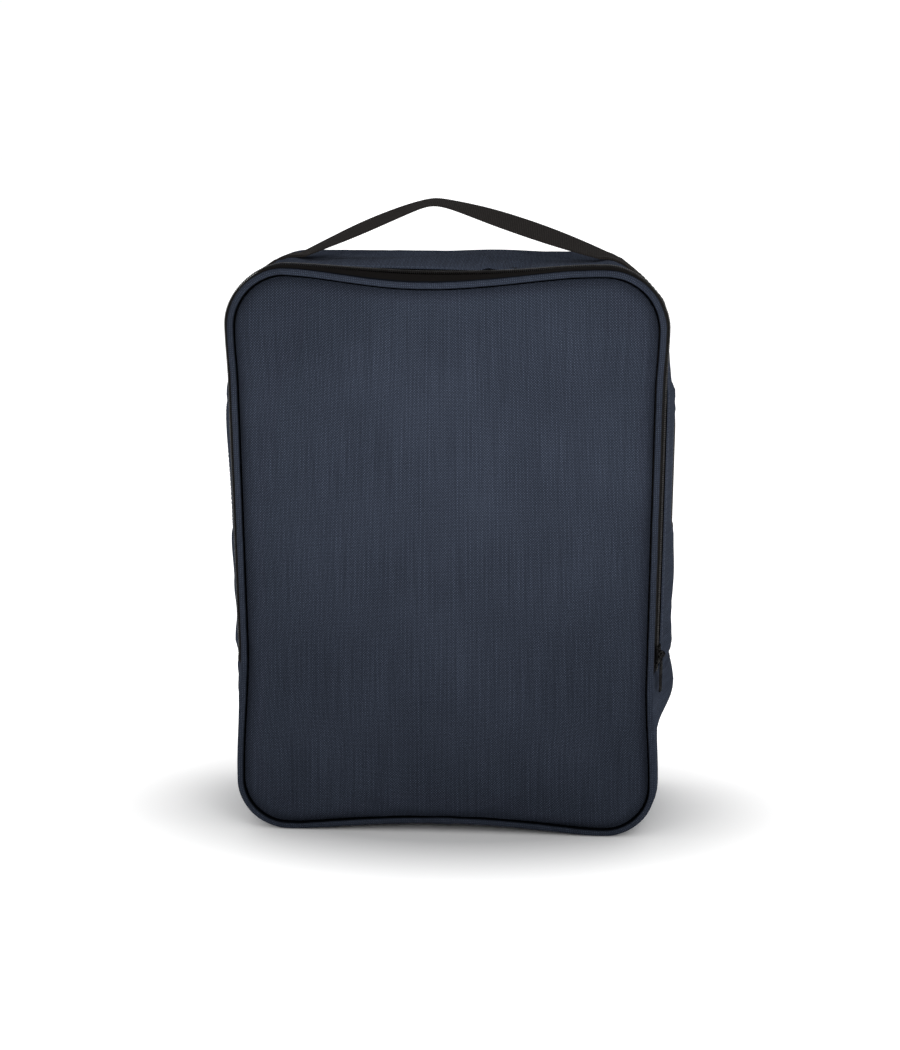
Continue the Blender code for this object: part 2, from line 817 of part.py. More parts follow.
def add_slider(frame, pivot):
    """Two plates with turned-in flanges, a post between the coils and a bridge for the pull."""
    metal = gunmetal()
    root = PLATE_OUTER - ROOT_DEPTH
    plates = []
    for name, side in (("outer", 1), ("inner", -1)):
        rings = [
            plate_ring(frame, along * SLIDER_HALF_LENGTH, side, share) for along, share in PLATE_ENDS
        ]
        plates.append(loft(f"slider_{name}_plate", rings, False, metal, pivot))
    post = ((POST_START, -root), (POST_END, -root), (POST_END, root), (POST_START, root))
    bridge = [(-BRIDGE_OUTER, root), *bridge_arch(BRIDGE_OUTER), (BRIDGE_OUTER, root)]
    bridge += [(BRIDGE_INNER, root), *bridge_arch(BRIDGE_INNER)[::-1], (-BRIDGE_INNER, root)]
    slider, inner_plate = plates
    slider.name = "zip_slider"
    others = (
        inner_plate,
        frame_prism(frame, "slider_post", post, POST_HALF_WIDTH, metal, pivot),
        frame_prism(frame, "slider_bridge", bridge, BRIDGE_HALF_WIDTH, metal, pivot),
    )
    for other in others:
        add_boolean(slider, other, "UNION")


def add_pull(frame, pivot):
    """A flat tab hanging from the bridge: an eye at its head and a slot near its foot."""
    low, high = BRIDGE_HEIGHT - PULL_THICKNESS / 2, BRIDGE_HEIGHT + PULL_THICKNESS / 2
    neck_end, wide_start = PULL_SHOULDER
    side = (
        (PULL_HEAD, PULL_CROWN_HALF_WIDTH), (-PULL_HEAD, PULL_NECK_HALF_WIDTH),
        (neck_end, PULL_NECK_HALF_WIDTH), (wide_start, PULL_HALF_WIDTH),
        (-PULL_LENGTH + PULL_CORNER, PULL_HALF_WIDTH),
        (-PULL_LENGTH, PULL_HALF_WIDTH - PULL_CORNER),
    )
    outline = [*side, *((s, -t) for s, t in side[::-1])]
    rings = [[frame.point(s, t, w) for s, t in outline] for w in (low, high)]
    pull = loft("pull_tab", rings, False, gunmetal(), pivot)
    holes = (
        ("eye_cutter", -EYE_FAR, -PULL_HEAD, EYE_HALF_WIDTH),
        ("slot_cutter", -SLOT_END, -SLOT_START, SLOT_HALF_WIDTH),
    )
    for name, start, end, width in holes:
        corners = ((start, -width), (end, -width), (end, width), (start, width))
        rings = [
            [frame.point(s, t, w) for s, t in corners]
            for w in (low - PULL_THICKNESS, high + PULL_THICKNESS)
        ]
        add_boolean(pull, loft(name, rings, False, gunmetal(), pivot), "DIFFERENCE")


# ---------------------------------------------------------------- handle

def strap_height(x):
    """Height of the strap's middle line: a soft-crested tent between its sewn ends."""
    reach = LEAVE_X - CREST_X if x > CREST_X else LEAVE_X + CREST_X
    away = math.sqrt((x - CREST_X) ** 2 + CREST_ROUND**2) - CREST_ROUND
    far = math.sqrt(reach**2 + CREST_ROUND**2) - CREST_ROUND
    return CREST_Z - (CREST_Z - LEAVE_Z) * (away / far) ** STRAP_RISE_POWER


def strap_roll(x):
    """How far the strap's face turns to the front between its ends and its crest."""
    if x > CREST_X:
        share, most = (x - CREST_X) / (LEAVE_X - CREST_X), STRAP_ROLL_RIGHT
    else:
        share, most = (CREST_X - x) / (CREST_X + LEAVE_X), STRAP_ROLL_LEFT
    return math.radians(most) * math.sin(math.pi * min(share, 1.0) ** 0.8) ** 2


def strap_ring(x):
    """The strap's four corners where it crosses the plane at x."""
    step = 1e-4
    slope = math.atan2(strap_height(x + step) - strap_height(x - step), 2 * step)
    roll = strap_roll(x)
    across = Vector((0, math.cos(roll), math.sin(roll)))
    # Up the face of the strap, stretched so that the cut stays in the plane of constant x.
    up = Vector((0, -math.sin(roll), math.cos(roll))) / math.cos(slope)
    middle = Vector((x, STRAP_Y, strap_height(x)))
    half, thick = STRAP_WIDTH / 2, STRAP_THICKNESS / 2
    return [
        middle + across * half + up * thick,
        middle - across * half + up * thick,
        middle - across * half - up * thick,
        middle + across * half - up * thick,
    ]


def sewn_rings(side):
    """The end of the strap where it lies on the gusset's rounded corner."""
    centre = (side * (HALF_WIDTH - TOP_RADIUS), TOP_Z - TOP_RADIUS)
    middle_back = STRAP_Y - FRONT_Y
    rings = []
    for i in range(SEWN_STEPS + 1):
        turn = math.radians(blend(*SEWN_ARC, i / SEWN_STEPS))
        station = (
            centre[0] + side * TOP_RADIUS * math.cos(turn),
            centre[1] + TOP_RADIUS * math.sin(turn),
        )
        under = max(
            gusset_out(station, middle_back + share * STRAP_WIDTH / 2) for share in (-1, 0, 1)
        ) + GAP
        rings.append([
            place(station, under + rise, middle_back + share * STRAP_WIDTH / 2)
            for rise, share in ((STRAP_THICKNESS, 1), (STRAP_THICKNESS, -1), (0, -1), (0, 1))
        ])
    return rings


def strap_run(start, end, steps):
    return [strap_ring(blend(start, end, i / steps)) for i in range(steps + 1)]


def add_handle(pivot):
    webbing = black_webbing()
    loop_end = STRAP_STUB_X - GAP
    loft("handle_webbing", strap_run(-loop_end, loop_end, STRAP_STEPS), False, webbing, pivot)
    for name, side in (("right", 1), ("left", -1)):
        free = strap_run(side * (LEAVE_X - STRAP_STUB_LAP), side * STRAP_STUB_X, STUB_STEPS)
        loft(f"handle_end_{name}", sewn_rings(side) + free, False, webbing)


# ---------------------------------------------------------------- label

def add_label():
    """A small blank label held by the back binding on the left."""
    station = (-HALF_WIDTH, LABEL_Z)
    near = place(station, -BINDING_IN - BINDING - GAP, DEPTH - ALLOWANCE_END + LABEL_LAP)
    half = LABEL_HEIGHT / 2
    outline = ((0, -half), (LABEL_LENGTH, -half), (LABEL_LENGTH, half), (0, half))
    rings = [
        [Vector((near.x + dx, y, LABEL_Z + dz)) for dx, dz in outline]
        for y in (near.y, near.y + LABEL_THICKNESS)
    ]
    loft("care_label", rings, False, label_cloth())


def main():
    clear_scene()
    flap = add_pivot("flap_hinge", (0.0, FRONT_Y - PANEL_CROWN - FOLD_AXIS_PROUD, FOLD_Z))
    handle = add_pivot("handle_hinge", (0.0, STRAP_Y, HANDLE_AXIS_Z))
    frame = ChainFrame(SLIDER_Z)
    slide = add_pivot("slider_travel", frame.origin)
    swing = add_pivot("pull_hinge", frame.point(0, 0, BRIDGE_HEIGHT))
    add_panel("front_panel_upper", upper_run(FOLD_Z + GAP / 2), pivot=flap)
    add_panel("front_panel_lower", lower_run(FOLD_Z - GAP / 2))
    add_panel("back_panel", full_run(), at_back=True)
    add_piping(flap)
    add_gussets()
    add_zip(flap)
    add_slider(frame, slide)
    add_pull(frame, swing)
    add_handle(handle)
    add_label()


main()
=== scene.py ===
"""Looks of the shoe bag: real cloth, piping, coil zip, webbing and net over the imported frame.

The bag's outline is the front seam's line, as in the frame: a rounded rectangle in the XZ
plane, waisted, sagging at the top and arched at the base. Most pieces are laid along it, and
a point is given by its station (x, z) on the plain rectangle, how far out it is from the
seam line, and how far back from the front face. Lengths are metres.
"""

import math

import bmesh
import bpy
import numpy as np
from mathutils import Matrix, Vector


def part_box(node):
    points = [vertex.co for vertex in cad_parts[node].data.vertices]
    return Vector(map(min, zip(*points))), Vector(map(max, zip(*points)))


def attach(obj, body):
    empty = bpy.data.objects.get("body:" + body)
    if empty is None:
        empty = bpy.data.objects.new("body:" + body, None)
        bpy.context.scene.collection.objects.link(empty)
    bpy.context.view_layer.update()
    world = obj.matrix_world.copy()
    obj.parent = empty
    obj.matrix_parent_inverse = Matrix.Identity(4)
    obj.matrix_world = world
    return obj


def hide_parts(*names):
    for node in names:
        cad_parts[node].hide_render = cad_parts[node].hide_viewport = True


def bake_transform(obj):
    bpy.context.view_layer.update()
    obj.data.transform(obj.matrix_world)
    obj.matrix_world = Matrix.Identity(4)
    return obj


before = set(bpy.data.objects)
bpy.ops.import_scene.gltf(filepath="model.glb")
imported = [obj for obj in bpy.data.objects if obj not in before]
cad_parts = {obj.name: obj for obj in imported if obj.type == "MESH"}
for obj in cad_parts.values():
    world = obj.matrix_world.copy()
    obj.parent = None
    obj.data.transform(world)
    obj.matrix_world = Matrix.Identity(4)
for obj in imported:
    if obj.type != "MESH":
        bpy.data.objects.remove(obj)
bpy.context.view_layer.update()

# The frame's driving sizes. The gussets' belly and bulges and the strap's line are set a few
# millimetres away from the frame's own, where that brings the outline closer to the real bag's.
HALF_WIDTH = 0.1362
BASE_Z = 0.0045
TOP_Z = 0.3755
MIDDLE_Z = (BASE_Z + TOP_Z) / 2
DEPTH = 0.120
FRONT_Y = -DEPTH / 2
TOP_RADIUS = 0.034
BASE_RADIUS = 0.030
RIGHT_SIDE = ((0.0345, 0.1362), (0.1035, 0.1332), (0.2985, 0.1352), (0.3435, 0.1370))
LEFT_SIDE = ((0.0345, 0.1366), (0.1285, 0.1321), (0.2985, 0.1350), (0.3435, 0.1368))
TOP_SAG = 0.0086
TOP_SAG_X = -0.014
TOP_SAG_REACH_LEFT = 0.095
TOP_SAG_REACH_RIGHT = 0.112
TOP_SAG_FADE = 4.5
BASE_LIFT = 0.0062
BASE_LIFT_REACH = 0.100
BASE_LIFT_FADE = 8.0
REAR_SLUMP = 0.0045
FOLD_Z = 0.1378
ZIP_END_Z = 0.1125
GAP = 0.0003
PANEL_CROWN = 0.0036
BACK_CROWN = 0.0020
BEAD_OUT = 0.0023
BEAD_BACK = 0.0016
BEAD_RADIUS = 0.0021
ALLOWANCE_END = 0.0074
RUN_OUT = 0.0043
RUN_BACK = 0.0042
TURN = 0.0011
COIL_BACK = 0.0124
GUSSET_EDGE = 0.0195
TAPE_UNDERLAP = 0.0270
EDGE_PROUD = 0.0013
FLARE_TOP = 0.16
FLARE_SAG = 0.30
FLARE_SAG_X = -0.022
FLARE_SAG_REACH = 0.085
FLARE_CORNER = -0.10
FLARE_RIGHT = 0.22
FLARE_LEFT = 0.36
FLARE_START = (0.052, 0.100)
TUCK_LEFT = 0.0024
TUCK_RIGHT = 0.0018
TUCK_RIGHT_START = (0.288, 0.335)
TUCK_TOP = 0.0012
TUCK_CORNER = 0.0026
BELLY_RIGHT = 0.0093
BELLY_LEFT = 0.0088
BELLY_TOP = -0.0002
BELLY_BASE = 0.0020
BELLY_LOW_SIDE = -0.0030
BELLY_START = (0.056, 0.094)
BELLY_START_LEFT = (0.045, 0.130)
BELLY_END = (0.268, 0.340)
BULGE_RIGHT = 0.0030
BULGE_Z = 0.084
BULGE_REACH = 0.022
BULGE_LEFT = 0.0028
BULGE_LEFT_Z = 0.272
BULGE_LEFT_REACH = 0.028
VENT_Z = 0.242
VENT_BACK = 0.062
VENT_HEIGHT = 0.080
VENT_DEPTH = 0.050
VENT_RADIUS = 0.014
VENT_LAP = 0.007
NET_SUNK = 0.0009
NET_BACKING = 0.0006
STRAP_Y = 0.004
STRAP_WIDTH = 0.025
STRAP_THICKNESS = 0.0015
CREST_X = -0.0111
CREST_Z = 0.4173
CREST_ROUND = 0.0063
LEAVE_LEFT = 0.1123
LEAVE_RIGHT = 0.1199
LEAVE_Z = 0.3765
STRAP_RISE_POWER = 1.078
STRAP_REACH_LEFT = 0.1105
STRAP_REACH_RIGHT = 0.1125
STRAP_ROLL = ((-0.118, 0.0), (-0.085, 10.3), (-0.060, 17.0), (-0.030, 12.4), (-0.010, 4.0),
              (0.010, 12.6), (0.030, 20.6), (0.060, 22.3), (0.085, 16.0), (0.118, 0.0))
SEWN_ARC = (12.0, 64.0)

# Cloth, thread and zip at real scale, and how the cloth turns at its seams and hems
CLOTH = 0.00045
TAPE = 0.00055
CHAIN_LEVEL = 0.85
CHAIN_RISE = 0.0006
FULL_BEHIND_PIPING = 0.0020
HEM_FORWARD = 0.0044
HEM_DROP = 0.0016
HEM_DROP_AT_SAG = 0.0010
HEM_REACH = 0.024
YARN = 0.00088
EDGE_ROLL = 0.0105
EDGE_DROP = 0.0024
SLIT = 0.0007
SEAM_SHADE_REACH = 0.0100
TOOTH_PITCH = 0.0013
TOOTH_WIRE = 0.00030
HEM = 0.009
SEAM_GROOVE = 0.0009
SEAM_LAP = 0.0030
SEAM_LAP_UNDER = 0.0007
THREAD = 0.00017
STITCH = 0.0026
STITCH_GAP = 0.0006
RIB_PITCH = 0.00125
CORD_RADIUS = 0.00118
NET_CELL = 0.0027
NET_YARN = 0.0004
METAL_EDGE_TINT = 0.16

# How far the simulated cloth may move, and how much too large it is cut
PANEL_SLACK = 0.004
PANEL_MOVE = 0.0022
GUSSET_SLACK = 0.012
GUSSET_MOVE = 0.0020
GUSSET_WAVES = 0.00032
PITCH = 0.0042

# Room light in front of the bag and behind it, and the camera
ROOM_FRONT = 0.5
ROOM_BACK = 1.02
CAMERA_DISTANCE = 1.5
CAMERA_PITCH = 12.97
CAMERA_AZIMUTH = 4.0
CAMERA_TARGET = (-0.0010, 0.0, 0.1994)


# ---------------------------------------------------------------- outline

def smooth(value, start, end):
    share = np.clip((value - start) / (end - start), 0, 1)
    return share * share * (3 - 2 * share)


def mix(low, high, share):
    return low + (high - low) * share


def side_width(side, z):
    (z0, w0), (z1, w1), (z2, w2), (z3, w3) = side
    low = mix(w0, w1, smooth(z, z0, z1))
    middle = mix(w1, w2, (z - z1) / (z2 - z1))
    high = mix(w2, w3, smooth(z, z2, z3))
    return np.where(z < z1, low, np.where(z < z2, middle, high))


def shaped(x, z, back):
    """Points of the plain rounded rectangle moved to where the soft bag has them."""
    half = np.where(x > 0, side_width(RIGHT_SIDE, z), side_width(LEFT_SIDE, z))
    share = np.clip((back - ALLOWANCE_END) / (DEPTH - ALLOWANCE_END), 0, 1)
    reach = np.where(x > TOP_SAG_X, TOP_SAG_REACH_RIGHT, TOP_SAG_REACH_LEFT)
    across = np.maximum(1 - ((x - TOP_SAG_X) / reach) ** 2, 0)
    high = np.clip((z - MIDDLE_Z) / (TOP_Z - MIDDLE_Z), 0, 1) ** 1.5
    sag = TOP_SAG * across**2 * (1 - share) ** TOP_SAG_FADE * high
    along = np.maximum(1 - (x / BASE_LIFT_REACH) ** 2, 0)
    low = np.clip((MIDDLE_Z - z) / (MIDDLE_Z - BASE_Z), 0, 1) ** 2.5
    lift = BASE_LIFT * along**1.3 * (1 - share) ** BASE_LIFT_FADE * low
    corner_x = np.clip((x - HALF_WIDTH) / TOP_RADIUS + 1, 0, 1)
    corner_z = np.clip((z - TOP_Z) / TOP_RADIUS + 1, 0, 1)
    slump = 2 * REAR_SLUMP * share * corner_x * corner_z
    return x * half / HALF_WIDTH - slump, z - sag + lift - slump


def flat_normal(x, z):
    radius = np.where(z > MIDDLE_Z, TOP_RADIUS, BASE_RADIUS)
    dx = x - np.clip(x, -HALF_WIDTH + radius, HALF_WIDTH - radius)
    dz = z - np.clip(z, BASE_Z + BASE_RADIUS, TOP_Z - TOP_RADIUS)
    length = np.hypot(dx, dz)
    return dx / length, dz / length


def outward(x, z, back):
    """Outward direction of the shaped outline, square to it in the XZ plane."""
    nx, nz = flat_normal(x, z)
    step = 1e-5
    x0, z0 = shaped(x + nz * step, z - nx * step, back)
    x1, z1 = shaped(x - nz * step, z + nx * step, back)
    length = np.hypot(x1 - x0, z1 - z0)
    return (z1 - z0) / length, -(x1 - x0) / length


def place(x, z, out, back):
    """World points at distances outside the seam line and behind the front face."""
    wide, high = shaped(x, z, back)
    nx, nz = outward(x, z, back)
    return np.stack(np.broadcast_arrays(wide + nx * out, FRONT_Y + back, high + nz * out), -1)


def outward_3d(x, z, back):
    nx, nz = outward(x, z, back)
    return np.stack([nx, 0 * nx, nz], 1)


def flare(x, z):
    """Slope at which the zip leaves the piping: most where the top edge sags, none at the base."""
    nx, nz = flat_normal(x, z)
    side = np.where(nx > 0, FLARE_RIGHT, FLARE_LEFT) * smooth(z, *FLARE_START)
    sag = np.maximum(1 - ((x - FLARE_SAG_X) / FLARE_SAG_REACH) ** 2, 0) ** 2
    top = FLARE_TOP + FLARE_SAG * sag + 4 * FLARE_CORNER * nx**2
    return side * nx**2 + top * nz**2 * (nz > 0)


def tuck(x, z):
    """How far the gusset's front edge is drawn in below the zip's own slope."""
    nx, nz = flat_normal(x, z)
    left = TUCK_LEFT * smooth(z, *FLARE_START)
    right = TUCK_RIGHT * smooth(z, *TUCK_RIGHT_START)
    top = TUCK_TOP + 4 * TUCK_CORNER * nx**2
    return np.where(nx > 0, right, left) * nx**2 + top * nz**2 * (nz > 0)


def tape_out(x, z, back):
    return RUN_OUT + flare(x, z) * (back - RUN_BACK)


def chain_tilt(x, z):
    """Slope of the chain itself: the tape's slope on the sides, nearly level over the top."""
    nz = flat_normal(x, z)[1]
    return flare(x, z) * (1 - CHAIN_LEVEL * nz**2 * (nz > 0))


def chain_out(x, z):
    """Height of the chain's middle above the seam line."""
    nz = flat_normal(x, z)[1]
    return tape_out(x, z, COIL_BACK) - TAPE / 2 + CHAIN_RISE * nz**2 * (nz > 0)


def belly(x, z):
    """How far the middle of a gusset stands outside its edges."""
    side = np.where(x > 0, BELLY_RIGHT, BELLY_LEFT)
    nz = flat_normal(x, z)[1]
    rest = np.where(z > MIDDLE_Z, BELLY_TOP, mix(BELLY_LOW_SIDE, BELLY_BASE, nz**2))
    begins = np.where(x > 0, smooth(z, *BELLY_START), smooth(z, *BELLY_START_LEFT))
    whole = mix(rest, side, begins * (1 - smooth(z, *BELLY_END)))
    right = BULGE_RIGHT * np.exp(-(((z - BULGE_Z) / BULGE_REACH) ** 2))
    left = BULGE_LEFT * np.exp(-(((z - BULGE_LEFT_Z) / BULGE_LEFT_REACH) ** 2))
    return whole + np.where(x > 0, right, left)


def gusset_out(x, z, back):
    """Outer face of the gussets: a straight rise behind the piping, then a belly."""
    edge = tape_out(x, z, GUSSET_EDGE) + EDGE_PROUD * smooth(z, *FLARE_START) - tuck(x, z)
    front = mix(RUN_OUT, edge, (back - RUN_BACK) / (GUSSET_EDGE - RUN_BACK))
    share = (back - GUSSET_EDGE) / (DEPTH - RUN_BACK - GUSSET_EDGE)
    rear = mix(edge, RUN_OUT, share) + belly(x, z) * 4 * share * (1 - share)
    out = np.where(back < GUSSET_EDGE, front, rear)
    nz = outward(x, z, back)[1]
    floor = np.where(nz < -0.05, shaped(x, z, back)[1] / np.maximum(-nz, 0.05), np.inf)
    return np.minimum(out, floor)


def on_gusset(x, z, back):
    """Points on the gusset's outer face, with the outward directions there."""
    return place(x, z, gusset_out(x, z, back), back), outward_3d(x, z, back)


def hem_shift(x, z, back):
    """How far the gusset's hem over the top lies forward of, and below, the plain outline."""
    nz = flat_normal(x, z)[1]
    near = (1 - smooth(back, GUSSET_EDGE, GUSSET_EDGE + HEM_REACH)) * nz**2 * (nz > 0)
    sag = np.maximum(1 - ((x - FLARE_SAG_X) / FLARE_SAG_REACH) ** 2, 0)
    return HEM_FORWARD * near, (HEM_DROP + HEM_DROP_AT_SAG * sag) * near


def straight(start, end, pitch):
    count = max(1, math.ceil(math.dist(start, end) / pitch))
    shares = [i / count for i in range(count)]
    return [(mix(start[0], end[0], share), mix(start[1], end[1], share)) for share in shares]


def corner(side, top, start, end, pitch):
    radius = TOP_RADIUS if top else BASE_RADIUS
    core_z = TOP_Z - TOP_RADIUS if top else BASE_Z + BASE_RADIUS
    count = math.ceil(math.radians(90) * radius / pitch)
    angles = [math.radians(mix(start, end, i / count)) for i in range(count)]
    core_x = side * (HALF_WIDTH - radius)
    return [(core_x + radius * math.cos(a), core_z + radius * math.sin(a)) for a in angles]


def upper_run(bottom_z, pitch):
    """Stations from a height on the right, over the top, to the same height on the left."""
    side_top, core = TOP_Z - TOP_RADIUS, HALF_WIDTH - TOP_RADIUS
    run = straight((HALF_WIDTH, bottom_z), (HALF_WIDTH, side_top), pitch)
    run += corner(1, True, 0, 90, pitch)
    run += straight((core, TOP_Z), (-core, TOP_Z), pitch)
    run += corner(-1, True, 90, 180, pitch)
    run += straight((-HALF_WIDTH, side_top), (-HALF_WIDTH, bottom_z), pitch)
    return np.array(run + [(-HALF_WIDTH, bottom_z)])


def lower_run(top_z, pitch):
    """Stations from a height on the left, across the base, to the same height on the right."""
    side_base, core = BASE_Z + BASE_RADIUS, HALF_WIDTH - BASE_RADIUS
    run = straight((-HALF_WIDTH, top_z), (-HALF_WIDTH, side_base), pitch)
    run += corner(-1, False, 180, 270, pitch)
    run += straight((-core, BASE_Z), (core, BASE_Z), pitch)
    run += corner(1, False, 270, 360, pitch)
    run += straight((HALF_WIDTH, side_base), (HALF_WIDTH, top_z), pitch)
    return np.array(run + [(HALF_WIDTH, top_z)])


def lapped_run(pitch):
    """The lower gusset's stations, with short ends that lap under the upper gusset."""
    ends = [(HALF_WIDTH, ZIP_END_Z + 0.0002), (HALF_WIDTH, ZIP_END_Z + SEAM_LAP)]
    starts = [(-x, z) for x, z in ends[::-1]]
    return np.concatenate([starts, lower_run(ZIP_END_Z - GAP / 2, pitch), ends])


def full_run(pitch):
    return np.concatenate([upper_run(FOLD_Z, pitch)[:-1], lower_run(FOLD_Z, pitch)[:-1]])


# ---------------------------------------------------------------- meshes

def lengths_along(points):
    """Distance of each point from the first, along the line through them."""
    steps = np.linalg.norm(np.diff(points, axis=0), axis=1)
    return np.concatenate([[0], np.cumsum(steps)])


def read_along(at, along, values):
    """Rows of values read off at lengths along a line."""
    return np.stack([np.interp(at, along, values[:, k]) for k in range(3)], 1)


def grid_corners(runs, sides, closed_run, closed_section):
    i, j = np.meshgrid(
        np.arange(runs if closed_run else runs - 1),
        np.arange(sides if closed_section else sides - 1), indexing="ij",
    )
    return i.ravel(), j.ravel()


def grid_faces(rows, columns):
    """Faces of an open grid of points[row, column]."""
    i, j = grid_corners(rows, columns, False, False)
    first = i * columns + j
    return np.stack([first, first + 1, first + columns + 1, first + columns], 1)


def add_grid(name, points, surfaces, closed_run=False, closed_section=False, capped=False, uv=None):
    """A mesh from points[run, section], with UVs that measure the cloth in metres."""
    runs, sides = points.shape[:2]
    i, j = grid_corners(runs, sides, closed_run, closed_section)
    turns = ((0, 0), (0, 1), (1, 1), (1, 0))
    faces = np.stack([(i + a) % runs * sides + (j + b) % sides for a, b in turns], 1)
    if uv is None:
        middle = points.mean(axis=1)
        ring = points[runs // 2]
        u = lengths_along(np.concatenate([middle, middle[:1]]))
        v = lengths_along(np.concatenate([ring, ring[:1]]))
        corners = np.stack([np.stack([u[i + a], v[j + b]], 1) for a, b in turns], 1)
    else:
        corners = np.stack([uv[i + a, j + b] for a, b in turns], 1)
    faces = faces.tolist()
    corners = corners.reshape(-1, 2)
    if capped:
        faces += [list(range(sides)), list(range((runs - 1) * sides, runs * sides))]
        corners = np.concatenate([corners, np.zeros((2 * sides, 2))])
    return add_mesh(name, points.reshape(-1, 3), faces, corners, surfaces)


def add_mesh(name, points, faces, corners, surfaces):
    mesh = bpy.data.meshes.new(name)
    mesh.from_pydata(np.asarray(points).tolist(), [], faces)
    if corners is not None:
        layer = mesh.uv_layers.new(name="Cloth")
        layer.data.foreach_set("uv", np.ravel(corners).astype(np.float32))
    tidy = bmesh.new()
    tidy.from_mesh(mesh)
    bmesh.ops.recalc_face_normals(tidy, faces=tidy.faces)
    tidy.to_mesh(mesh)
    tidy.free()
    for surface in surfaces:
        mesh.materials.append(surface)
    obj = bpy.data.objects.new(name, mesh)
    bpy.context.scene.collection.objects.link(obj)
    return obj


def face_out(obj, toward):
    """Turns a whole open sheet so that its first face looks along a direction."""
    if obj.data.polygons[0].normal.dot(Vector(toward)) < 0:
        obj.data.flip_normals()


def shade(obj, angle=40):
    obj.data.shade_smooth()
    obj.data.set_sharp_from_angle(angle=math.radians(angle))


def add_lining(obj, thickness):
    """Gives an open sheet its thickness on the inside, with the second material there."""
    solid = obj.modifiers.new("thickness", "SOLIDIFY")
    solid.thickness = thickness
    solid.offset = -1
    solid.use_even_offset = True
    solid.thickness_clamp = 1.0
    solid.material_offset = 1
    solid.material_offset_rim = 0


def section_grid(run, section):
    """World points of a section, pairs of (out, back) that may depend on the station."""
    x, z = run[:, 0], run[:, 1]
    return np.stack([place(x, z, out, back) for out, back in section(x, z)], 1)


def at_back(section):
    return lambda x, z: [(out, DEPTH - back) for out, back in section(x, z)]


def noise_1d(length, wave, seed):
    """Smooth random numbers of about unit size, one per step, with a period in steps."""
    source = np.random.default_rng(seed)
    knots = source.standard_normal(max(4, int(length / wave) + 3))
    at = np.linspace(0, len(knots) - 1.001, length)
    low = at.astype(int)
    return mix(knots[low], knots[low + 1], smooth(at - low, 0, 1))


def noise_2d(shape, waves, seed):
    source = np.random.default_rng(seed)
    knots = source.standard_normal([max(3, int(n / w) + 3) for n, w in zip(shape, waves)])
    ats = [np.linspace(0, k - 1.001, n) for n, k in zip(shape, knots.shape)]
    (i, fi), (j, fj) = [(a.astype(int), smooth(a - a.astype(int), 0, 1)) for a in ats]
    first = mix(knots[np.ix_(i, j)], knots[np.ix_(i, j + 1)], fj[None, :])
    second = mix(knots[np.ix_(i + 1, j)], knots[np.ix_(i + 1, j + 1)], fj[None, :])
    return mix(first, second, fi[:, None])


CLOTH_SETTINGS = {
    "quality": 6,
    "mass": 0.15,
    "tension_stiffness": 12,
    "compression_stiffness": 12,
    "shear_stiffness": 6,
    "bending_stiffness": 0.35,
    "tension_damping": 12,
    "compression_damping": 12,
    "air_damping": 3,
    "vertex_group_mass": "held",
    "pin_stiffness": 1,
}


def settle(points, held, slack, cap, frames=26):
    """Lets a sheet of cloth, given as points[row, column], find its own soft folds.

    It is cut a little too large for its edges, held where held is true, and no point moves
    further than cap from where it starts.
    """
    mesh = bpy.data.meshes.new("settling")
    start = points.reshape(-1, 3)
    mesh.from_pydata(start.tolist(), [], grid_faces(*points.shape[:2]).tolist())
    sheet = bpy.data.objects.new("settling", mesh)
    bpy.context.scene.collection.objects.link(sheet)
    group = sheet.vertex_groups.new(name="held")
    group.add(np.flatnonzero(held.ravel()).tolist(), 1.0, "REPLACE")
    cloth = sheet.modifiers.new("cloth", "CLOTH")
    settings = cloth.settings
    for setting, value in CLOTH_SETTINGS.items():
        setattr(settings, setting, value)
    settings.shrink_min = -slack
    settings.effector_weights.gravity = 0.3
    cloth.collision_settings.use_collision = False
    cloth.point_cache.frame_start = 1
    cloth.point_cache.frame_end = frames
    scene = bpy.context.scene
    for number in range(1, frames + 1):
        scene.frame_set(number)
    graph = bpy.context.evaluated_depsgraph_get()
    moved = np.empty(len(start) * 3, np.float32)
    sheet.evaluated_get(graph).data.vertices.foreach_get("co", moved)
    moved = moved.reshape(-1, 3) - start
    size = np.linalg.norm(moved, axis=1, keepdims=True)
    moved *= np.tanh(size / cap) * cap / np.maximum(size, 1e-9)
    bpy.data.objects.remove(sheet)
    scene.frame_set(1)
    return points + moved.reshape(points.shape)


# ---------------------------------------------------------------- materials

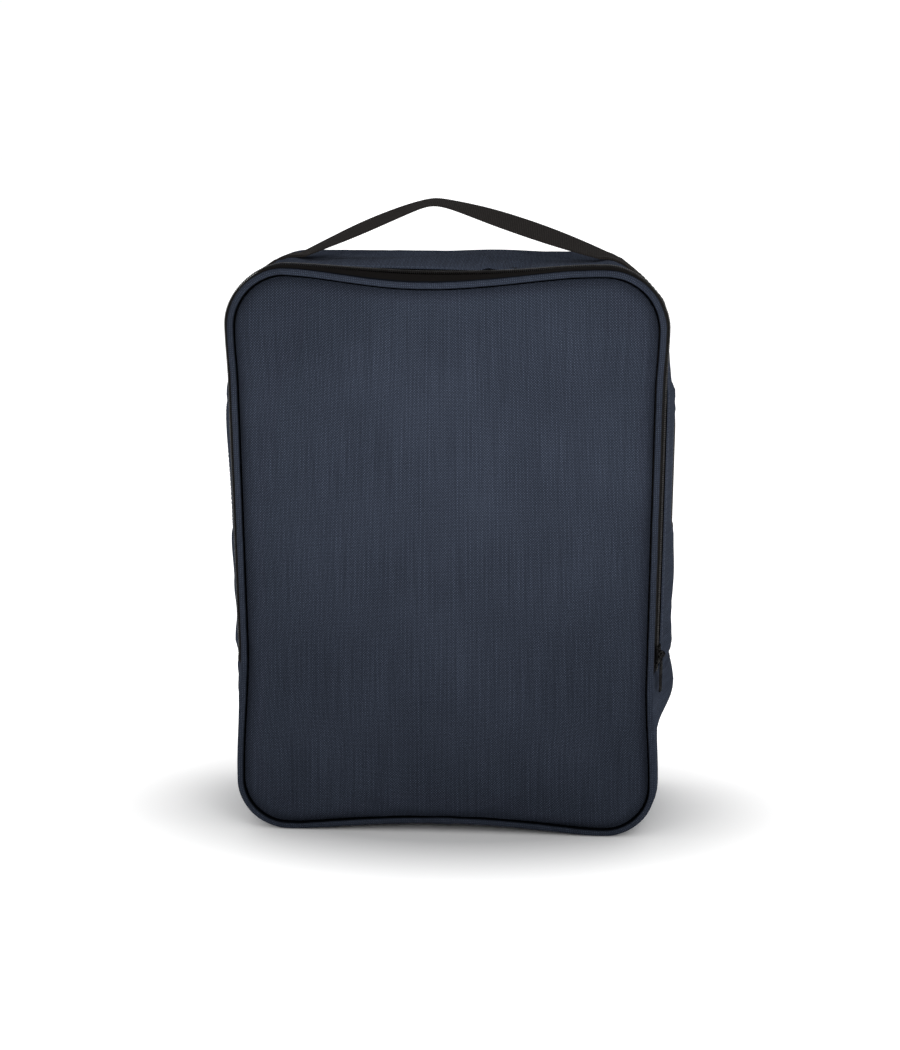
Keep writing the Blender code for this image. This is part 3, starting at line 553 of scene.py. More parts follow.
class Nodes:
    """A node tree, with short calls for the sums that make a pattern."""

    def __init__(self, tree):
        self.tree = tree

    def node(self, kind, *sources, output=0, **settings):
        made = self.tree.nodes.new("ShaderNode" + kind)
        for setting, value in settings.items():
            if setting in made.inputs:
                made.inputs[setting].default_value = value
            else:
                setattr(made, setting, value)
        for socket, source in zip(made.inputs, sources):
            self.feed(socket, source)
        return made.outputs[output]

    def feed(self, socket, source):
        if isinstance(source, bpy.types.NodeSocket):
            self.tree.links.new(source, socket)
        elif source is not None:
            socket.default_value = source

    def math(self, operation, *values):
        return self.node("Math", *values, operation=operation)

    def wave(self, value, per_period=1.0):
        """Sine that passes through whole periods as the value passes through whole numbers."""
        return self.math("SINE", self.math("MULTIPLY", value, 2 * math.pi * per_period))

    def humps(self, value):
        """A row of humps, one for each whole number of the value."""
        return self.math("ABSOLUTE", self.wave(value, 0.5))

    def scaled(self, vector, *factors):
        return self.node("VectorMath", vector, factors, operation="MULTIPLY")

    def split(self, vector):
        made = self.tree.nodes.new("ShaderNodeSeparateXYZ")
        self.feed(made.inputs[0], vector)
        return list(made.outputs)

    def noise(self, vector, scale, detail=2.0):
        return self.node("TexNoise", vector, Scale=scale, Detail=detail)

    def ramp(self, value, low, high, to_low=0.0, to_high=1.0):
        return self.node("MapRange", value, low, high, to_low, to_high)

    def shades(self, value, *stops):
        """A colour by a value from 0 to 1."""
        made = self.tree.nodes.new("ShaderNodeValToRGB")
        elements = made.color_ramp.elements
        while len(elements) < len(stops):
            elements.new(0.5)
        for element, (position, colour) in zip(elements, stops):
            element.position = position
            element.color = (*colour, 1.0)
        self.feed(made.inputs[0], value)
        return made.outputs[0]


class Shader(Nodes):
    """A material's nodes and its surface."""

    def __init__(self, name, roughness, metallic=0.0, specular=0.5, sheen=0.0):
        self.material = bpy.data.materials.new(name)
        self.material.use_nodes = True
        super().__init__(self.material.node_tree)
        self.surface = self.tree.nodes["Principled BSDF"]
        for socket, value in (
            ("Roughness", roughness), ("Metallic", metallic),
            ("Specular IOR Level", specular), ("Sheen Weight", sheen), ("Sheen Roughness", 0.45),
        ):
            self.surface.inputs[socket].default_value = value

    def uv(self, pitch, turn=0.0):
        """The cloth's own coordinates in periods of a pattern, after a turn in degrees."""
        plain = self.node("UVMap", uv_map="Cloth")
        turned = self.node("VectorRotate", plain, rotation_type="Z_AXIS", Angle=math.radians(turn))
        return self.scaled(turned, 1 / pitch, 1 / pitch, 1.0)

    def bump(self, height, distance, strength=1.0):
        out = self.node("Bump", Strength=strength, Distance=distance, output=0)
        self.feed(out.node.inputs["Height"], height)
        self.tree.links.new(out, self.surface.inputs["Normal"])

    def colour(self, source):
        self.feed(self.surface.inputs["Base Color"], source)

    def roughness(self, source):
        self.feed(self.surface.inputs["Roughness"], source)


def tinted(colour, factor):
    return tuple(min(channel * factor, 1.0) for channel in colour)


def woven(name, colour, turn=0.0, sheen=0.0, depth=0.00022, seams=False):
    """Plain weave: the warp yarns stand up between the places where the weft covers them.

    over is 1 where the weft lies on top and 0 where the warp does. Only the warp is drawn with
    its own roundness and its thick and thin places; the weft is an even, lighter ground.
    """
    roughness, streaks = 0.85, 0.13
    shader = Shader(name, roughness, specular=0.0, sheen=sheen)
    place_uv = shader.uv(YARN, turn)
    u, v, _ = shader.split(place_uv)
    wave_u, wave_v = shader.wave(u, 0.5), shader.wave(v, 0.5)
    over = shader.ramp(shader.math("MULTIPLY", wave_u, wave_v), -0.15, 0.15)
    under = shader.math("SUBTRACT", 1.0, over)
    round_u = shader.math("POWER", shader.math("ABSOLUTE", wave_u), 0.7)
    round_v = shader.math("POWER", shader.math("ABSOLUTE", wave_v), 0.3)
    lifted = shader.math("MULTIPLY", shader.math("MULTIPLY", round_u, round_v), under)
    slub = shader.math("MULTIPLY", shader.noise(shader.scaled(place_uv, 0.9, 0.012, 1.0), 1.0, 1.0), under)
    patches = shader.noise(shader.scaled(place_uv, 0.011, 0.011, 1.0), 1.0, 3.0)
    tone = shader.math("MULTIPLY_ADD", lifted, 0.50, 0.0)
    tone = shader.math("ADD", tone, shader.math("MULTIPLY_ADD", slub, streaks * 1.4, -streaks * 0.7))
    tone = shader.math("ADD", tone, shader.math("MULTIPLY_ADD", over, 0.44, -0.04))
    tone = shader.math("ADD", tone, shader.math("MULTIPLY_ADD", patches, 0.06, -0.03))
    shown = shader.shades(
        tone, (0.0, tinted(colour, 0.01)), (0.30, tinted(colour, 0.20)),
        (0.60, tinted(colour, 1.3)), (0.90, tinted(colour, 3.9)),
    )
    if seams:
        # Painted shade: the navy is darkened to 0.62 of its colour at the seam, coming back to full over
        # SEAM_SHADE_REACH, where the panel's edge rolls into the groove.
        near = shader.node("Attribute", attribute_name="seam", output=2)
        seam = shader.ramp(near, 0.0, 1.0, 0.62, 1.0)
        seam_shadow_factor = shader.node("CombineXYZ", seam, seam, seam)
        shown = shader.node("VectorMath", shown, seam_shadow_factor, operation="MULTIPLY")
    shader.colour(shown)
    shader.roughness(shader.ramp(slub, 0.2, 0.8, roughness + 0.07, roughness - 0.09))
    shader.bump(shader.math("MULTIPLY_ADD", slub, 0.3, lifted), depth)
    return shader.material


def coated(name, colour, specular=0.3):
    """The cloth's inside: a thin coat through which the weave just shows. Made near black, it also gives
    the painted shadow in the seams.
    """
    shader = Shader(name, 0.5, specular=specular)
    place_uv = shader.uv(YARN)
    u, v, _ = shader.split(place_uv)
    height = shader.math("MULTIPLY", shader.humps(u), shader.humps(v))
    patches = shader.noise(place_uv, 0.02, 4.0)
    shader.colour(shader.shades(patches, (0.3, tinted(colour, 0.8)), (0.7, tinted(colour, 1.25))))
    shader.roughness(shader.ramp(patches, 0.3, 0.7, 0.42, 0.6))
    shader.bump(height, 0.00006)
    return shader.material


def ribbed(name, colour, pitch, slant, depth, roughness=0.82):
    """Narrow woven tape: slanting twill lines, which turn at the middle of each band."""
    shader = Shader(name, roughness, specular=0.02, sheen=0.0)
    place_uv = shader.uv(pitch)
    u, v, _ = shader.split(place_uv)
    rib = shader.humps(shader.math("ADD", u, shader.math("PINGPONG", v, slant)))
    yarn = shader.math("ABSOLUTE", shader.wave(v))
    height = shader.math("MULTIPLY_ADD", yarn, 0.35, rib)
    grain = shader.noise(place_uv, 0.7, 2.0)
    tone = shader.math("MULTIPLY_ADD", height, 0.55, shader.math("MULTIPLY_ADD", grain, 0.4, -0.15))
    dark, middle, light = (tinted(colour, factor) for factor in (0.2, 0.9, 2.2))
    shader.colour(shader.shades(tone, (0.0, dark), (0.5, middle), (1.0, light)))
    shader.roughness(shader.ramp(grain, 0.3, 0.7, roughness - 0.08, min(roughness + 0.08, 1.0)))
    shader.bump(height, depth)
    return shader.material


def twisted(name, colour, pitch, roughness=0.6):
    """Thread or cord laid up from strands."""
    shader = Shader(name, roughness, specular=0.05, sheen=0.0)
    place_uv = shader.uv(pitch)
    u, v, _ = shader.split(place_uv)
    strands = shader.wave(shader.math("ADD", u, v))
    fuzz = shader.noise(place_uv, 3.0, 2.0)
    tone = shader.math("MULTIPLY_ADD", strands, 0.3, fuzz)
    shader.colour(shader.shades(tone, (0.2, tinted(colour, 0.5)), (0.8, tinted(colour, 1.3))))
    shader.bump(strands, 0.00005)
    return shader.material


def moulded(name, colour, roughness):
    """Nylon wire: nearly black, with a soft gloss that is rubbed in places."""
    shader = Shader(name, roughness, specular=0.15)
    spot = shader.node("TexCoord", output=3)
    rubbed = shader.noise(spot, 260.0, 3.0)
    shader.colour(shader.shades(rubbed, (0.3, tinted(colour, 0.8)), (0.75, tinted(colour, 1.5))))
    shader.roughness(shader.ramp(rubbed, 0.3, 0.7, roughness - 0.1, roughness + 0.15))
    shader.bump(shader.noise(spot, 2600.0), 0.00002, 0.4)
    return shader.material


def plated(name, colour, worn):
    """Dark plating, brighter where hands have rubbed it."""
    shader = Shader(name, 0.35, metallic=1.0)
    shader.surface.inputs["Specular Tint"].default_value = (*[METAL_EDGE_TINT] * 3, 1.0)
    spot = shader.node("TexCoord", output=3)
    patches = shader.noise(spot, 700.0, 4.0)
    shader.colour(shader.shades(patches, (0.35, colour), (0.62, tinted(colour, 1.6)), (0.72, worn)))
    shader.roughness(shader.ramp(patches, 0.3, 0.7, 0.22, 0.42))
    shader.bump(shader.noise(spot, 1800.0, 3.0), 0.00003, 0.3)
    return shader.material


NAVY = (0.0920, 0.1120, 0.1620)
BLACK = (0.0160, 0.0143, 0.0136)

navy = woven("navy_weave", NAVY, seams=True)
# The gussets' navy is the panels' navy painted 1.2 times lighter: painted light for what the top and sides
# catch.
navy_sides_painted_lighter = woven("navy_weave_sides_painted_lighter", tinted(NAVY, 1.2), sheen=0.008, depth=0.00013)
navy_bias = woven("navy_weave_bias", tinted(NAVY, 1.02), turn=45.0)
coating = coated("navy_coating", (0.022, 0.027, 0.037))
tape_cloth = ribbed("zip_tape_weave", tinted(BLACK, 0.35), 0.00062, 3.2, 0.00010)
binding_cloth = ribbed("binding_weave", tinted(BLACK, 1.2), 0.00055, 40.0, 0.00006)
web_cloth = ribbed("webbing_weave", tinted(BLACK, 1.15), RIB_PITCH, 0.5, 0.00022)
nylon = moulded("coil_nylon", tinted(BLACK, 0.35), 0.40)
net_yarn = moulded("net_yarn", tinted(BLACK, 0.9), 0.62)
net_cloth = ribbed("net_backing", tinted(BLACK, 0.5), 0.0005, 0.5, 0.00008)
navy_thread = twisted("navy_thread", tinted(NAVY, 0.75), 0.0005)
black_thread = twisted("black_thread", tinted(BLACK, 1.6), 0.0005)
cotton = twisted("filler_cotton", (0.62, 0.60, 0.55), 0.0011, 0.85)
gunmetal = plated("gunmetal", (0.008, 0.0078, 0.0076), (0.13, 0.125, 0.12))
# Painted shadow: near-black cloth laid in the slit between panel and piping, on the piping's inner side
# and along the front tape's edge, where shade falls.
painted_seam_shadow = coated("painted_seam_shadow_cloth", (0.004, 0.005, 0.007), specular=0.0)
satin = ribbed("label_satin", (0.66, 0.66, 0.64), 0.00035, 60.0, 0.00004, 0.55)


# ---------------------------------------------------------------- panels

def panel_rows():
    """Heights of the rows of a panel, close together in the corners, and each row's half width."""

    def corner_rows(edge_z, inward, radius, turns):
        angles = np.radians(turns)
        heights = edge_z + inward * radius * (1 - np.cos(angles))
        return zip(heights, HALF_WIDTH - radius * (1 - np.sin(angles)))

    rows = list(corner_rows(BASE_Z, 1, BASE_RADIUS, np.linspace(0, 90, 11)[:-1]))
    rows += [(z, HALF_WIDTH) for z in np.linspace(BASE_Z + BASE_RADIUS, TOP_Z - TOP_RADIUS, 78)[:-1]]
    rows += corner_rows(TOP_Z, -1, TOP_RADIUS, np.linspace(90, 0, 11))
    return np.array(rows)


def panel_columns():
    """Shares of the half width, with narrow columns where the cloth turns into the seam."""
    near = np.array([0.0, 0.003, 0.008, 0.016, 0.027, 0.040])
    inner = np.linspace(-0.945, 0.945, 66)
    return np.concatenate([-1 + near, inner, 1 - near[::-1]])


def edge_ring(rows, columns):
    """Indices of the grid's edge, once round."""
    index = np.arange(rows * columns).reshape(rows, columns)
    return np.concatenate([index[0, :-1], index[:-1, -1], index[-1, :0:-1], index[:0:-1, 0]])


def add_panel(name, crown, rear, nodes, seed):
    """A crowned cloth face, puckered along its seam, whose edge turns into the seam."""
    rows, shares = panel_rows(), panel_columns()
    x = rows[:, 1:] * shares[None, :]
    z = np.repeat(rows[:, :1], len(shares), 1)
    depth = DEPTH if rear else 0.0
    wide, high = shaped(x, z, depth)
    across = np.abs(x) / HALF_WIDTH
    up = np.abs(z - MIDDLE_Z) / (TOP_Z - MIDDLE_Z)
    share = (1 - across**3) * (1 - up**3)
    outward_y = 1.0 if rear else -1.0
    points = np.stack([wide, FRONT_Y + depth + outward_y * crown * share, high], -1)
    held = np.zeros(x.shape, bool)
    held[:2], held[-2:], held[:, :2], held[:, -2:] = True, True, True, True
    points = settle(points, held, PANEL_SLACK, PANEL_MOVE)
    # Puckers across the seam, dying out within the first few centimetres.
    radius = np.where(z > MIDDLE_Z, TOP_RADIUS, BASE_RADIUS)
    core_x = HALF_WIDTH - radius
    core_up = np.where(z > MIDDLE_Z, TOP_Z - TOP_RADIUS - MIDDLE_Z, MIDDLE_Z - BASE_Z - BASE_RADIUS)
    dx, dz = np.maximum(np.abs(x) - core_x, 0), np.maximum(np.abs(z - MIDDLE_Z) - core_up, 0)
    inset = np.minimum(radius - np.hypot(dx, dz), HALF_WIDTH - np.abs(x))
    fade = np.exp(-inset / 0.007) * smooth(inset, 0.0, 0.002)
    pucker = 0.00030 * noise_2d(x.shape, (1.7, 1.7), seed) * fade
    swell = 0.00050 * noise_2d(x.shape, (13, 11), seed + 1) * smooth(inset, 0.004, 0.030)
    points[..., 1] += outward_y * (pucker + swell)
    edge = edge_ring(*x.shape)
    rolled = 1 - np.clip(inset / EDGE_ROLL, 0, 1)
    points[..., 1] -= outward_y * EDGE_DROP * rolled**2
    points[..., 0] *= 1 - SLIT / HALF_WIDTH * rolled**4
    shorter = 1 - SLIT / (TOP_Z - MIDDLE_Z) * rolled**4
    points[..., 2] = MIDDLE_Z + (points[..., 2] - MIDDLE_Z) * shorter
    flat = np.stack([x, z], -1).reshape(-1, 2)
    count = x.size
    vertices = [points.reshape(-1, 3)]
    for out, back in ((-SLIT, 0.0032), (-0.0002, 0.0050), (-0.0001, ALLOWANCE_END)):
        depth_here = DEPTH - back if rear else back
        vertices.append(place(flat[edge, 0], flat[edge, 1], out, depth_here))
    faces = grid_faces(*x.shape).tolist()
    in_face = len(faces)
    rings = [edge] + [count + k * len(edge) + np.arange(len(edge)) for k in range(3)]
    for first, second in zip(rings, rings[1:]):
        after = np.roll(np.arange(len(edge)), -1)
        faces += np.stack([first, first[after], second[after], second], 1).tolist()
    uv = np.concatenate([flat, flat[edge] * 1.01, flat[edge] * 1.02, flat[edge] * 1.03])
    corners = uv[np.concatenate([np.array(face) for face in faces])]
    obj = add_mesh(name, np.concatenate(vertices), faces, corners, [navy, coating, painted_seam_shadow])
    face_out(obj, (0, outward_y, 0))
    # The walls of the slit round the panel take the painted seam shadow.
    surfaces = np.where(np.arange(len(faces)) < in_face, 0, 2).astype(np.int32)
    obj.data.polygons.foreach_set("material_index", surfaces)
    # Share of the way out of the painted seam shade: 0 at the seam and on the slit's rings, 1 beyond
    # SEAM_SHADE_REACH.
    near = np.concatenate([smooth(inset, 0, SEAM_SHADE_REACH).ravel(), np.zeros(3 * len(edge))])
    seam_shadow_attribute = obj.data.attributes.new("seam", "FLOAT", "POINT")
    seam_shadow_attribute.data.foreach_set("value", near.astype(np.float32))
    add_lining(obj, CLOTH)
    shade(obj, 60)
    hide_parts(*nodes)
    return obj


# ---------------------------------------------------------------- piping and binding

def circle(radius, start, end, steps):
    angles = np.radians(np.linspace(start, end, steps + 1))
    return [(BEAD_OUT + radius * math.cos(a), BEAD_BACK + radius * math.sin(a)) for a in angles]


def piping_grid(run, rear):
    """The cover round its cord: small twists where the cloth is drawn over it, and a lap joint."""
    x, z = run[:, 0], run[:, 1]
    count = len(run)
    twist = noise_1d(count, 2.2, 31 + rear) * 0.00006 + noise_1d(count, 9, 33 + rear) * 0.00007
    lapped = smooth(x, -0.0085, -0.0080) * (1 - smooth(x, 0.004, 0.006)) * (z < MIDDLE_Z)
    lap = 0.00035 * lapped * (not rear)
    leg = BEAD_OUT - BEAD_RADIUS
    columns = []
    outer = circle(1.0, 180, 475, 18)
    inner = circle(1.0, 475, 180, 8)
    wall = 0.0005

    def ring(points, radius):
        for out, back in points:
            phase = math.atan2(back - BEAD_BACK, out - BEAD_OUT)
            shift = twist * np.cos(3 * phase + np.arange(count) * 0.55) + lap
            columns.append((BEAD_OUT + (out - BEAD_OUT) * (radius + shift),
                            BEAD_BACK + (back - BEAD_BACK) * (radius + shift)))

    columns.append((leg + 0 * x, ALLOWANCE_END))
    ring(outer, BEAD_RADIUS)
    ring(inner, BEAD_RADIUS - wall)
    columns.append((leg + wall + 0 * x, ALLOWANCE_END))
    return np.stack([place(x, z, out, DEPTH - back if rear else back + 0 * x) for out, back in columns], 1)


def add_piping(rear):
    name = "back" if rear else "front"
    run = full_run(0.0024)
    cover = add_grid(f"{name}_piping", piping_grid(run, rear), [navy_bias, painted_seam_shadow], True, True)
    strips = piping_grid(run[:2], rear).shape[1]
    strip = np.arange(len(cover.data.polygons)) % strips
    # The piping's leg and the first strips of its inner side take the painted seam shadow.
    cover.data.polygons.foreach_set("material_index", (strip < 3).astype(np.int32))
    turns = np.arange(len(run)) * 0.5
    cord = []
    for angle in np.radians(np.arange(0, 360, 30)):
        radius = CORD_RADIUS + 0.00012 * np.cos(3 * (angle + turns))
        out, back = BEAD_OUT + radius * np.cos(angle), BEAD_BACK + radius * np.sin(angle)
        cord.append(place(run[:, 0], run[:, 1], out, DEPTH - back if rear else back))
    filler = add_grid(f"{name}_piping_filler", np.stack(cord, 1), [cotton], True, True)
    shade(cover, 50)
    shade(filler, 70)
    nodes = [""] if rear else ["_lower", "_upper"]
    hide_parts(*(f"{name}_piping_cover{end}" for end in nodes))
    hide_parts(*(f"{name}_piping_cord{end}" for end in nodes))
    return cover, filler


def binding_section(x, z):
    """Tape folded round the raw edges of the seam."""
    inner, outer, start, end, thick = -0.0015, 0.0024, 0.0056, ALLOWANCE_END + GAP, 0.0004
    path = [(inner - thick, start), (inner, start), (inner, end), (outer, end), (outer, start),
            (outer + thick, start), (outer + thick, end + 0.0001), (outer, end + thick),
            (inner, end + thick), (inner - thick, end + 0.0001)]
    return [(out + 0 * x, back + 0 * x) for out, back in path]


def add_binding(rear):
    run = full_run(0.004)
    section = at_back(binding_section) if rear else binding_section
    name = "back" if rear else "front"
    obj = add_grid(f"{name}_binding_tape", section_grid(run, section), [binding_cloth], True, True)
    shade(obj, 30)
    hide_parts(*(["back_binding"] if rear else ["front_binding_lower", "front_binding_upper"]))
    return obj


# ---------------------------------------------------------------- zip

def chain_frames(bottom_z, pitch=0.0012):
    """Middle line of the chain with its own axes: along it, across it and away from the bag."""
    run = upper_run(bottom_z, pitch)
    x, z = run[:, 0], run[:, 1]
    slope = np.arctan(chain_tilt(x, z))[:, None]
    middle = place(x, z, chain_out(x, z), COIL_BACK + 0 * x)
    normal = outward_3d(x, z, COIL_BACK)
    back = np.array([[0.0, 1.0, 0.0]])
    away = np.cos(slope) * normal - np.sin(slope) * back
    across = np.sin(slope) * normal + np.cos(slope) * back
    return middle, across, away


def add_coil(name, side, nodes):
    """One nylon wire wound into a row of loops that reach just past the chain's middle."""
    middle, across, away = chain_frames(ZIP_END_Z + 0.0008)
    along = lengths_along(middle)
    turns = int(along[-1] / TOOTH_PITCH) - 1
    per_turn, wire_sides = 8, 5
    theta = np.arange(turns * per_turn + 1) / per_turn * 2 * math.pi
    at = TOOTH_PITCH * (theta / (2 * math.pi) + (0.75 if side > 0 else 0.25))

    centre, t, w = (read_along(at, along, values) for values in (middle, across, away))
    loop_t = (side * (0.00128 - 0.00170 * np.cos(theta)))[:, None]
    loop_w = (0.00086 * np.sin(theta) + 0.00012)[:, None]
    line = centre + loop_t * t + loop_w * w
    tangent = np.gradient(line, axis=0)
    tangent /= np.linalg.norm(tangent, axis=1, keepdims=True)
    radial = -side * np.cos(theta)[:, None] * t + np.sin(theta)[:, None] * w
    radial -= (radial * tangent).sum(1, keepdims=True) * tangent
    radial /= np.linalg.norm(radial, axis=1, keepdims=True)
    side_way = np.cross(tangent, radial)
    angles = np.arange(wire_sides) / wire_sides * 2 * math.pi
    rings = [line + TOOTH_WIRE * (math.cos(a) * radial + math.sin(a) * side_way) for a in angles]
    obj = add_grid(name, np.stack(rings, 1), [nylon], False, True, True)
    shade(obj, 80)
    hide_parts(*nodes)
    return obj


def turned_edge(face):
    """Front end of a swept cloth: round the back of the bead and into the seam."""
    return [(face - 0.0002, RUN_BACK + 0.0001), (TURN + 0.0004, RUN_BACK), (TURN, RUN_BACK + 0.0004),
            (TURN, ALLOWANCE_END)]


def front_tape_section(x, z):
    """From the seam, up behind the bead and back under the coil."""
    middle = chain_out(x, z)
    slope = chain_tilt(x, z)
    front = middle + TAPE / 2 - slope * 0.0036
    path = [(out + 0 * x, back + 0 * x) for out, back in turned_edge(RUN_OUT)[::-1]]
    first, last = RUN_BACK, COIL_BACK - 0.0036
    for back in (RUN_BACK + 0.0005, 0.0060, 0.0075):
        share = (back - first) / (last - first)
        bulge = 0.35 * (front - RUN_OUT - flare(x, z) * (last - first)) * 4 * share * (1 - share)
        path.append((mix(RUN_OUT, front, share) + bulge, back + 0 * x))
    for across, drop in ((-0.0036, 0.0), (-0.0030, 0.0004), (-0.0022, 0.0009), (-0.0006, 0.0009)):
        path.append((middle + TAPE / 2 + slope * across - drop, COIL_BACK + across + 0 * x))
    return path


def rear_tape_section(x, z):
    middle = chain_out(x, z)
    slope = chain_tilt(x, z)
    level = 0.0009 * flat_normal(x, z)[1].clip(0) ** 2
    path = []
    for across, drop in ((0.0006, 0.0009), (0.0022, 0.0009), (0.0030, 0.0004), (0.0036, 0.0)):
        out = middle + TAPE / 2 + slope * across - np.maximum(drop, level)
        path.append((out, COIL_BACK + across + 0 * x))
    for back, share in ((0.0178, 0.45), (GUSSET_EDGE, 1.0)):
        drop = hem_shift(x, z, back)[1]
        path.append((tape_out(x, z, back) - 0.0002 - share * tuck(x, z) - 1.4 * drop, back + 0 * x))
    path.append((gusset_out(x, z, TAPE_UNDERLAP + 0 * x) - 0.0022, TAPE_UNDERLAP + 0 * x))
    return path


def add_tape(name, section, nodes, painted_shadow_strips=0):
    run = upper_run(ZIP_END_Z + 0.0003, 0.003)
    obj = add_grid(name, section_grid(run, section), [tape_cloth, tape_cloth, painted_seam_shadow])
    # The run starts on the bag's right, where the tape's outer face looks along +X.
    middle = len(obj.data.polygons) // len(run) // 2 + 1
    if obj.data.polygons[middle].normal.x < 0:
        obj.data.flip_normals()
    strips = len(section(run[:, 0], run[:, 1])) - 1
    strip = np.arange(len(obj.data.polygons)) % strips
    # The first strips, just beyond the bead, take the painted seam shadow.
    surfaces = np.where(strip < painted_shadow_strips, 2, 0).astype(np.int32)
    obj.data.polygons.foreach_set("material_index", surfaces)
    add_lining(obj, TAPE)
    shade(obj, 50)
    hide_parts(*nodes)
    return obj


# ---------------------------------------------------------------- gussets

def crease(run, back, ends, width, height):
    """Height of a soft ridge, or of a valley if negative, along a line given in (run, back)."""
    (r0, b0), (r1, b1) = ends
    dr, db = r1 - r0, b1 - b0
    t = np.clip(((run - r0) * dr + (back - b0) * db) / (dr * dr + db * db), 0, 1)
    away = np.hypot(run - r0 - t * dr, back - b0 - t * db)
    return height * np.exp(-(away / width) ** 2) * np.sin(math.pi * np.clip(t, 0.04, 0.96)) ** 0.5


def gusset_columns(front_seam):
    """Depths of the columns across a gusset, and how far each is turned in from the outer face."""
    backs = list(np.linspace(GUSSET_EDGE + 0.0022, DEPTH - RUN_BACK - 0.0030, 27))
    tail = [(0.0, DEPTH - RUN_BACK - 0.0010), (0.0005, DEPTH - RUN_BACK - 0.0001)]
    if front_seam:
        head = [(0.0005, RUN_BACK + 0.0001), (0.0, RUN_BACK + 0.0010)]
        head += [(0.0, back) for back in (0.0075, 0.0105, 0.0140, 0.0175)]
    else:
        head = [(0.0010, GUSSET_EDGE + back) for back in (HEM, 0.0045, 0.0010)]
        head += [(0.0007, GUSSET_EDGE + 0.0001), (0.0003, GUSSET_EDGE), (0.0, GUSSET_EDGE + 0.0005)]
    return head + [(0.0, back) for back in backs] + tail


def in_vent(z, back, margin):
    in_height = np.abs(z - VENT_Z) < VENT_HEIGHT / 2 + margin
    return in_height & (np.abs(back - VENT_BACK) < VENT_DEPTH / 2 + margin)


def under_strap(x, z, back):
    in_depth = np.abs(back - (STRAP_Y - FRONT_Y)) < STRAP_WIDTH / 2 + 0.003
    return in_depth & (z > 0.342) & (np.abs(x) > 0.10)


def add_gusset(name, run, front_seam, creases, nodes, seed):
    """A long strip of cloth round the bag, settled into soft folds and pulled in at its seams."""
    columns = gusset_columns(front_seam)
    x, z = run[:, :1], run[:, 1:]
    back = np.array([[b for _, b in columns]])
    sunk = np.array([[d for d, _ in columns]])
    from_end = lengths_along(run)
    from_end = np.minimum(from_end, from_end[-1] - from_end)[:, None]
    if front_seam:
        from_end = from_end - SEAM_LAP - GAP / 2
    seam = SEAM_GROOVE * (1 - smooth(from_end, 0, 0.0016)) + SEAM_LAP_UNDER * (from_end < -GAP)
    out = gusset_out(x, z, back) - sunk - seam
    flat_nz = flat_normal(x, z)[1]
    if front_seam:
        full = np.sin(math.pi * np.clip((back - RUN_BACK) / 0.020, 0, 1))
        out = out + FULL_BEHIND_PIPING * full * (1 - smooth(z, *FLARE_START)) * (1 - flat_nz**2)
        forward = 0.0
    else:
        forward, drop = hem_shift(x, z, back)
        out = out - drop
    points = place(x, z, out, back + 0 * x) - np.array([0.0, 1.0, 0.0]) * (forward + 0 * out)[..., None]
    nx, nz = outward(x, z, back)
    normals = np.stack(np.broadcast_arrays(nx, 0.0, nz), -1)
    side = np.abs(x) > HALF_WIDTH - 0.001
    near_strap = under_strap(x, z, back)
    bottom = (z < BASE_Z + 0.004) & (from_end > 0.05)
    held = (side & in_vent(z, back, 0.006)) | near_strap | bottom
    held |= (back < GUSSET_EDGE + (0.0 if front_seam else 0.0105)) | (back > DEPTH - RUN_BACK - 0.004)
    held |= (from_end < 0.005)
    points = settle(points, held, GUSSET_SLACK, GUSSET_MOVE)
    along = lengths_along(run)[:, None] + 0 * back
    waves = GUSSET_WAVES * noise_2d((len(run), back.shape[1]), (5, 5), seed) * (1.0 - held)
    waves *= smooth(back, GUSSET_EDGE + 0.006, 0.04) * smooth(DEPTH - back, RUN_BACK + 0.004, 0.02)
    points = points + normals * waves[..., None]
    for ends, width, height in creases:
        rise = crease(along, back + 0 * x, ends, width, height) * (1 - near_strap)
        points = points + normals * rise[..., None]
    points[..., 2] = np.maximum(points[..., 2], 0.0)
    turn_in = [(TURN + 0.0001, DEPTH - RUN_BACK), (TURN, DEPTH - ALLOWANCE_END)]
    extra = [place(x[:, 0], z[:, 0], o, b + 0 * x[:, 0]) for o, b in turn_in]
    points = np.concatenate([points, np.stack(extra, 1)], 1)
    if front_seam:
        lead = [place(x[:, 0], z[:, 0], o, DEPTH - b + 0 * x[:, 0]) for o, b in turn_in[::-1]]
        points = np.concatenate([np.stack(lead, 1), points], 1)
    obj = add_grid(name, points, [navy_sides_painted_lighter, coating])
    count = points.shape[1] - 1
    start_normal = obj.data.polygons[count * 3 + count // 2].normal
    if start_normal.dot(Vector(normals[3, 15])) < 0:
        obj.data.flip_normals()
    add_lining(obj, CLOTH)
    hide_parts(*nodes)
    return obj


def rounded_outline(half_height, half_depth, radius, steps=10):
    """Points (back, z) of a rounded rectangle about its own middle."""
    points = []
    for quarter in range(4):
        centre_back = (half_depth - radius) * (1 if quarter in (0, 3) else -1)
        centre_z = (half_height - radius) * (1 if quarter in (0, 1) else -1)
        for i in range(steps + 1):
            angle = math.radians(90 * quarter + 90 * i / steps)
            points.append((centre_back + radius * math.cos(angle), centre_z + radius * math.sin(angle)))
    return np.array(points)


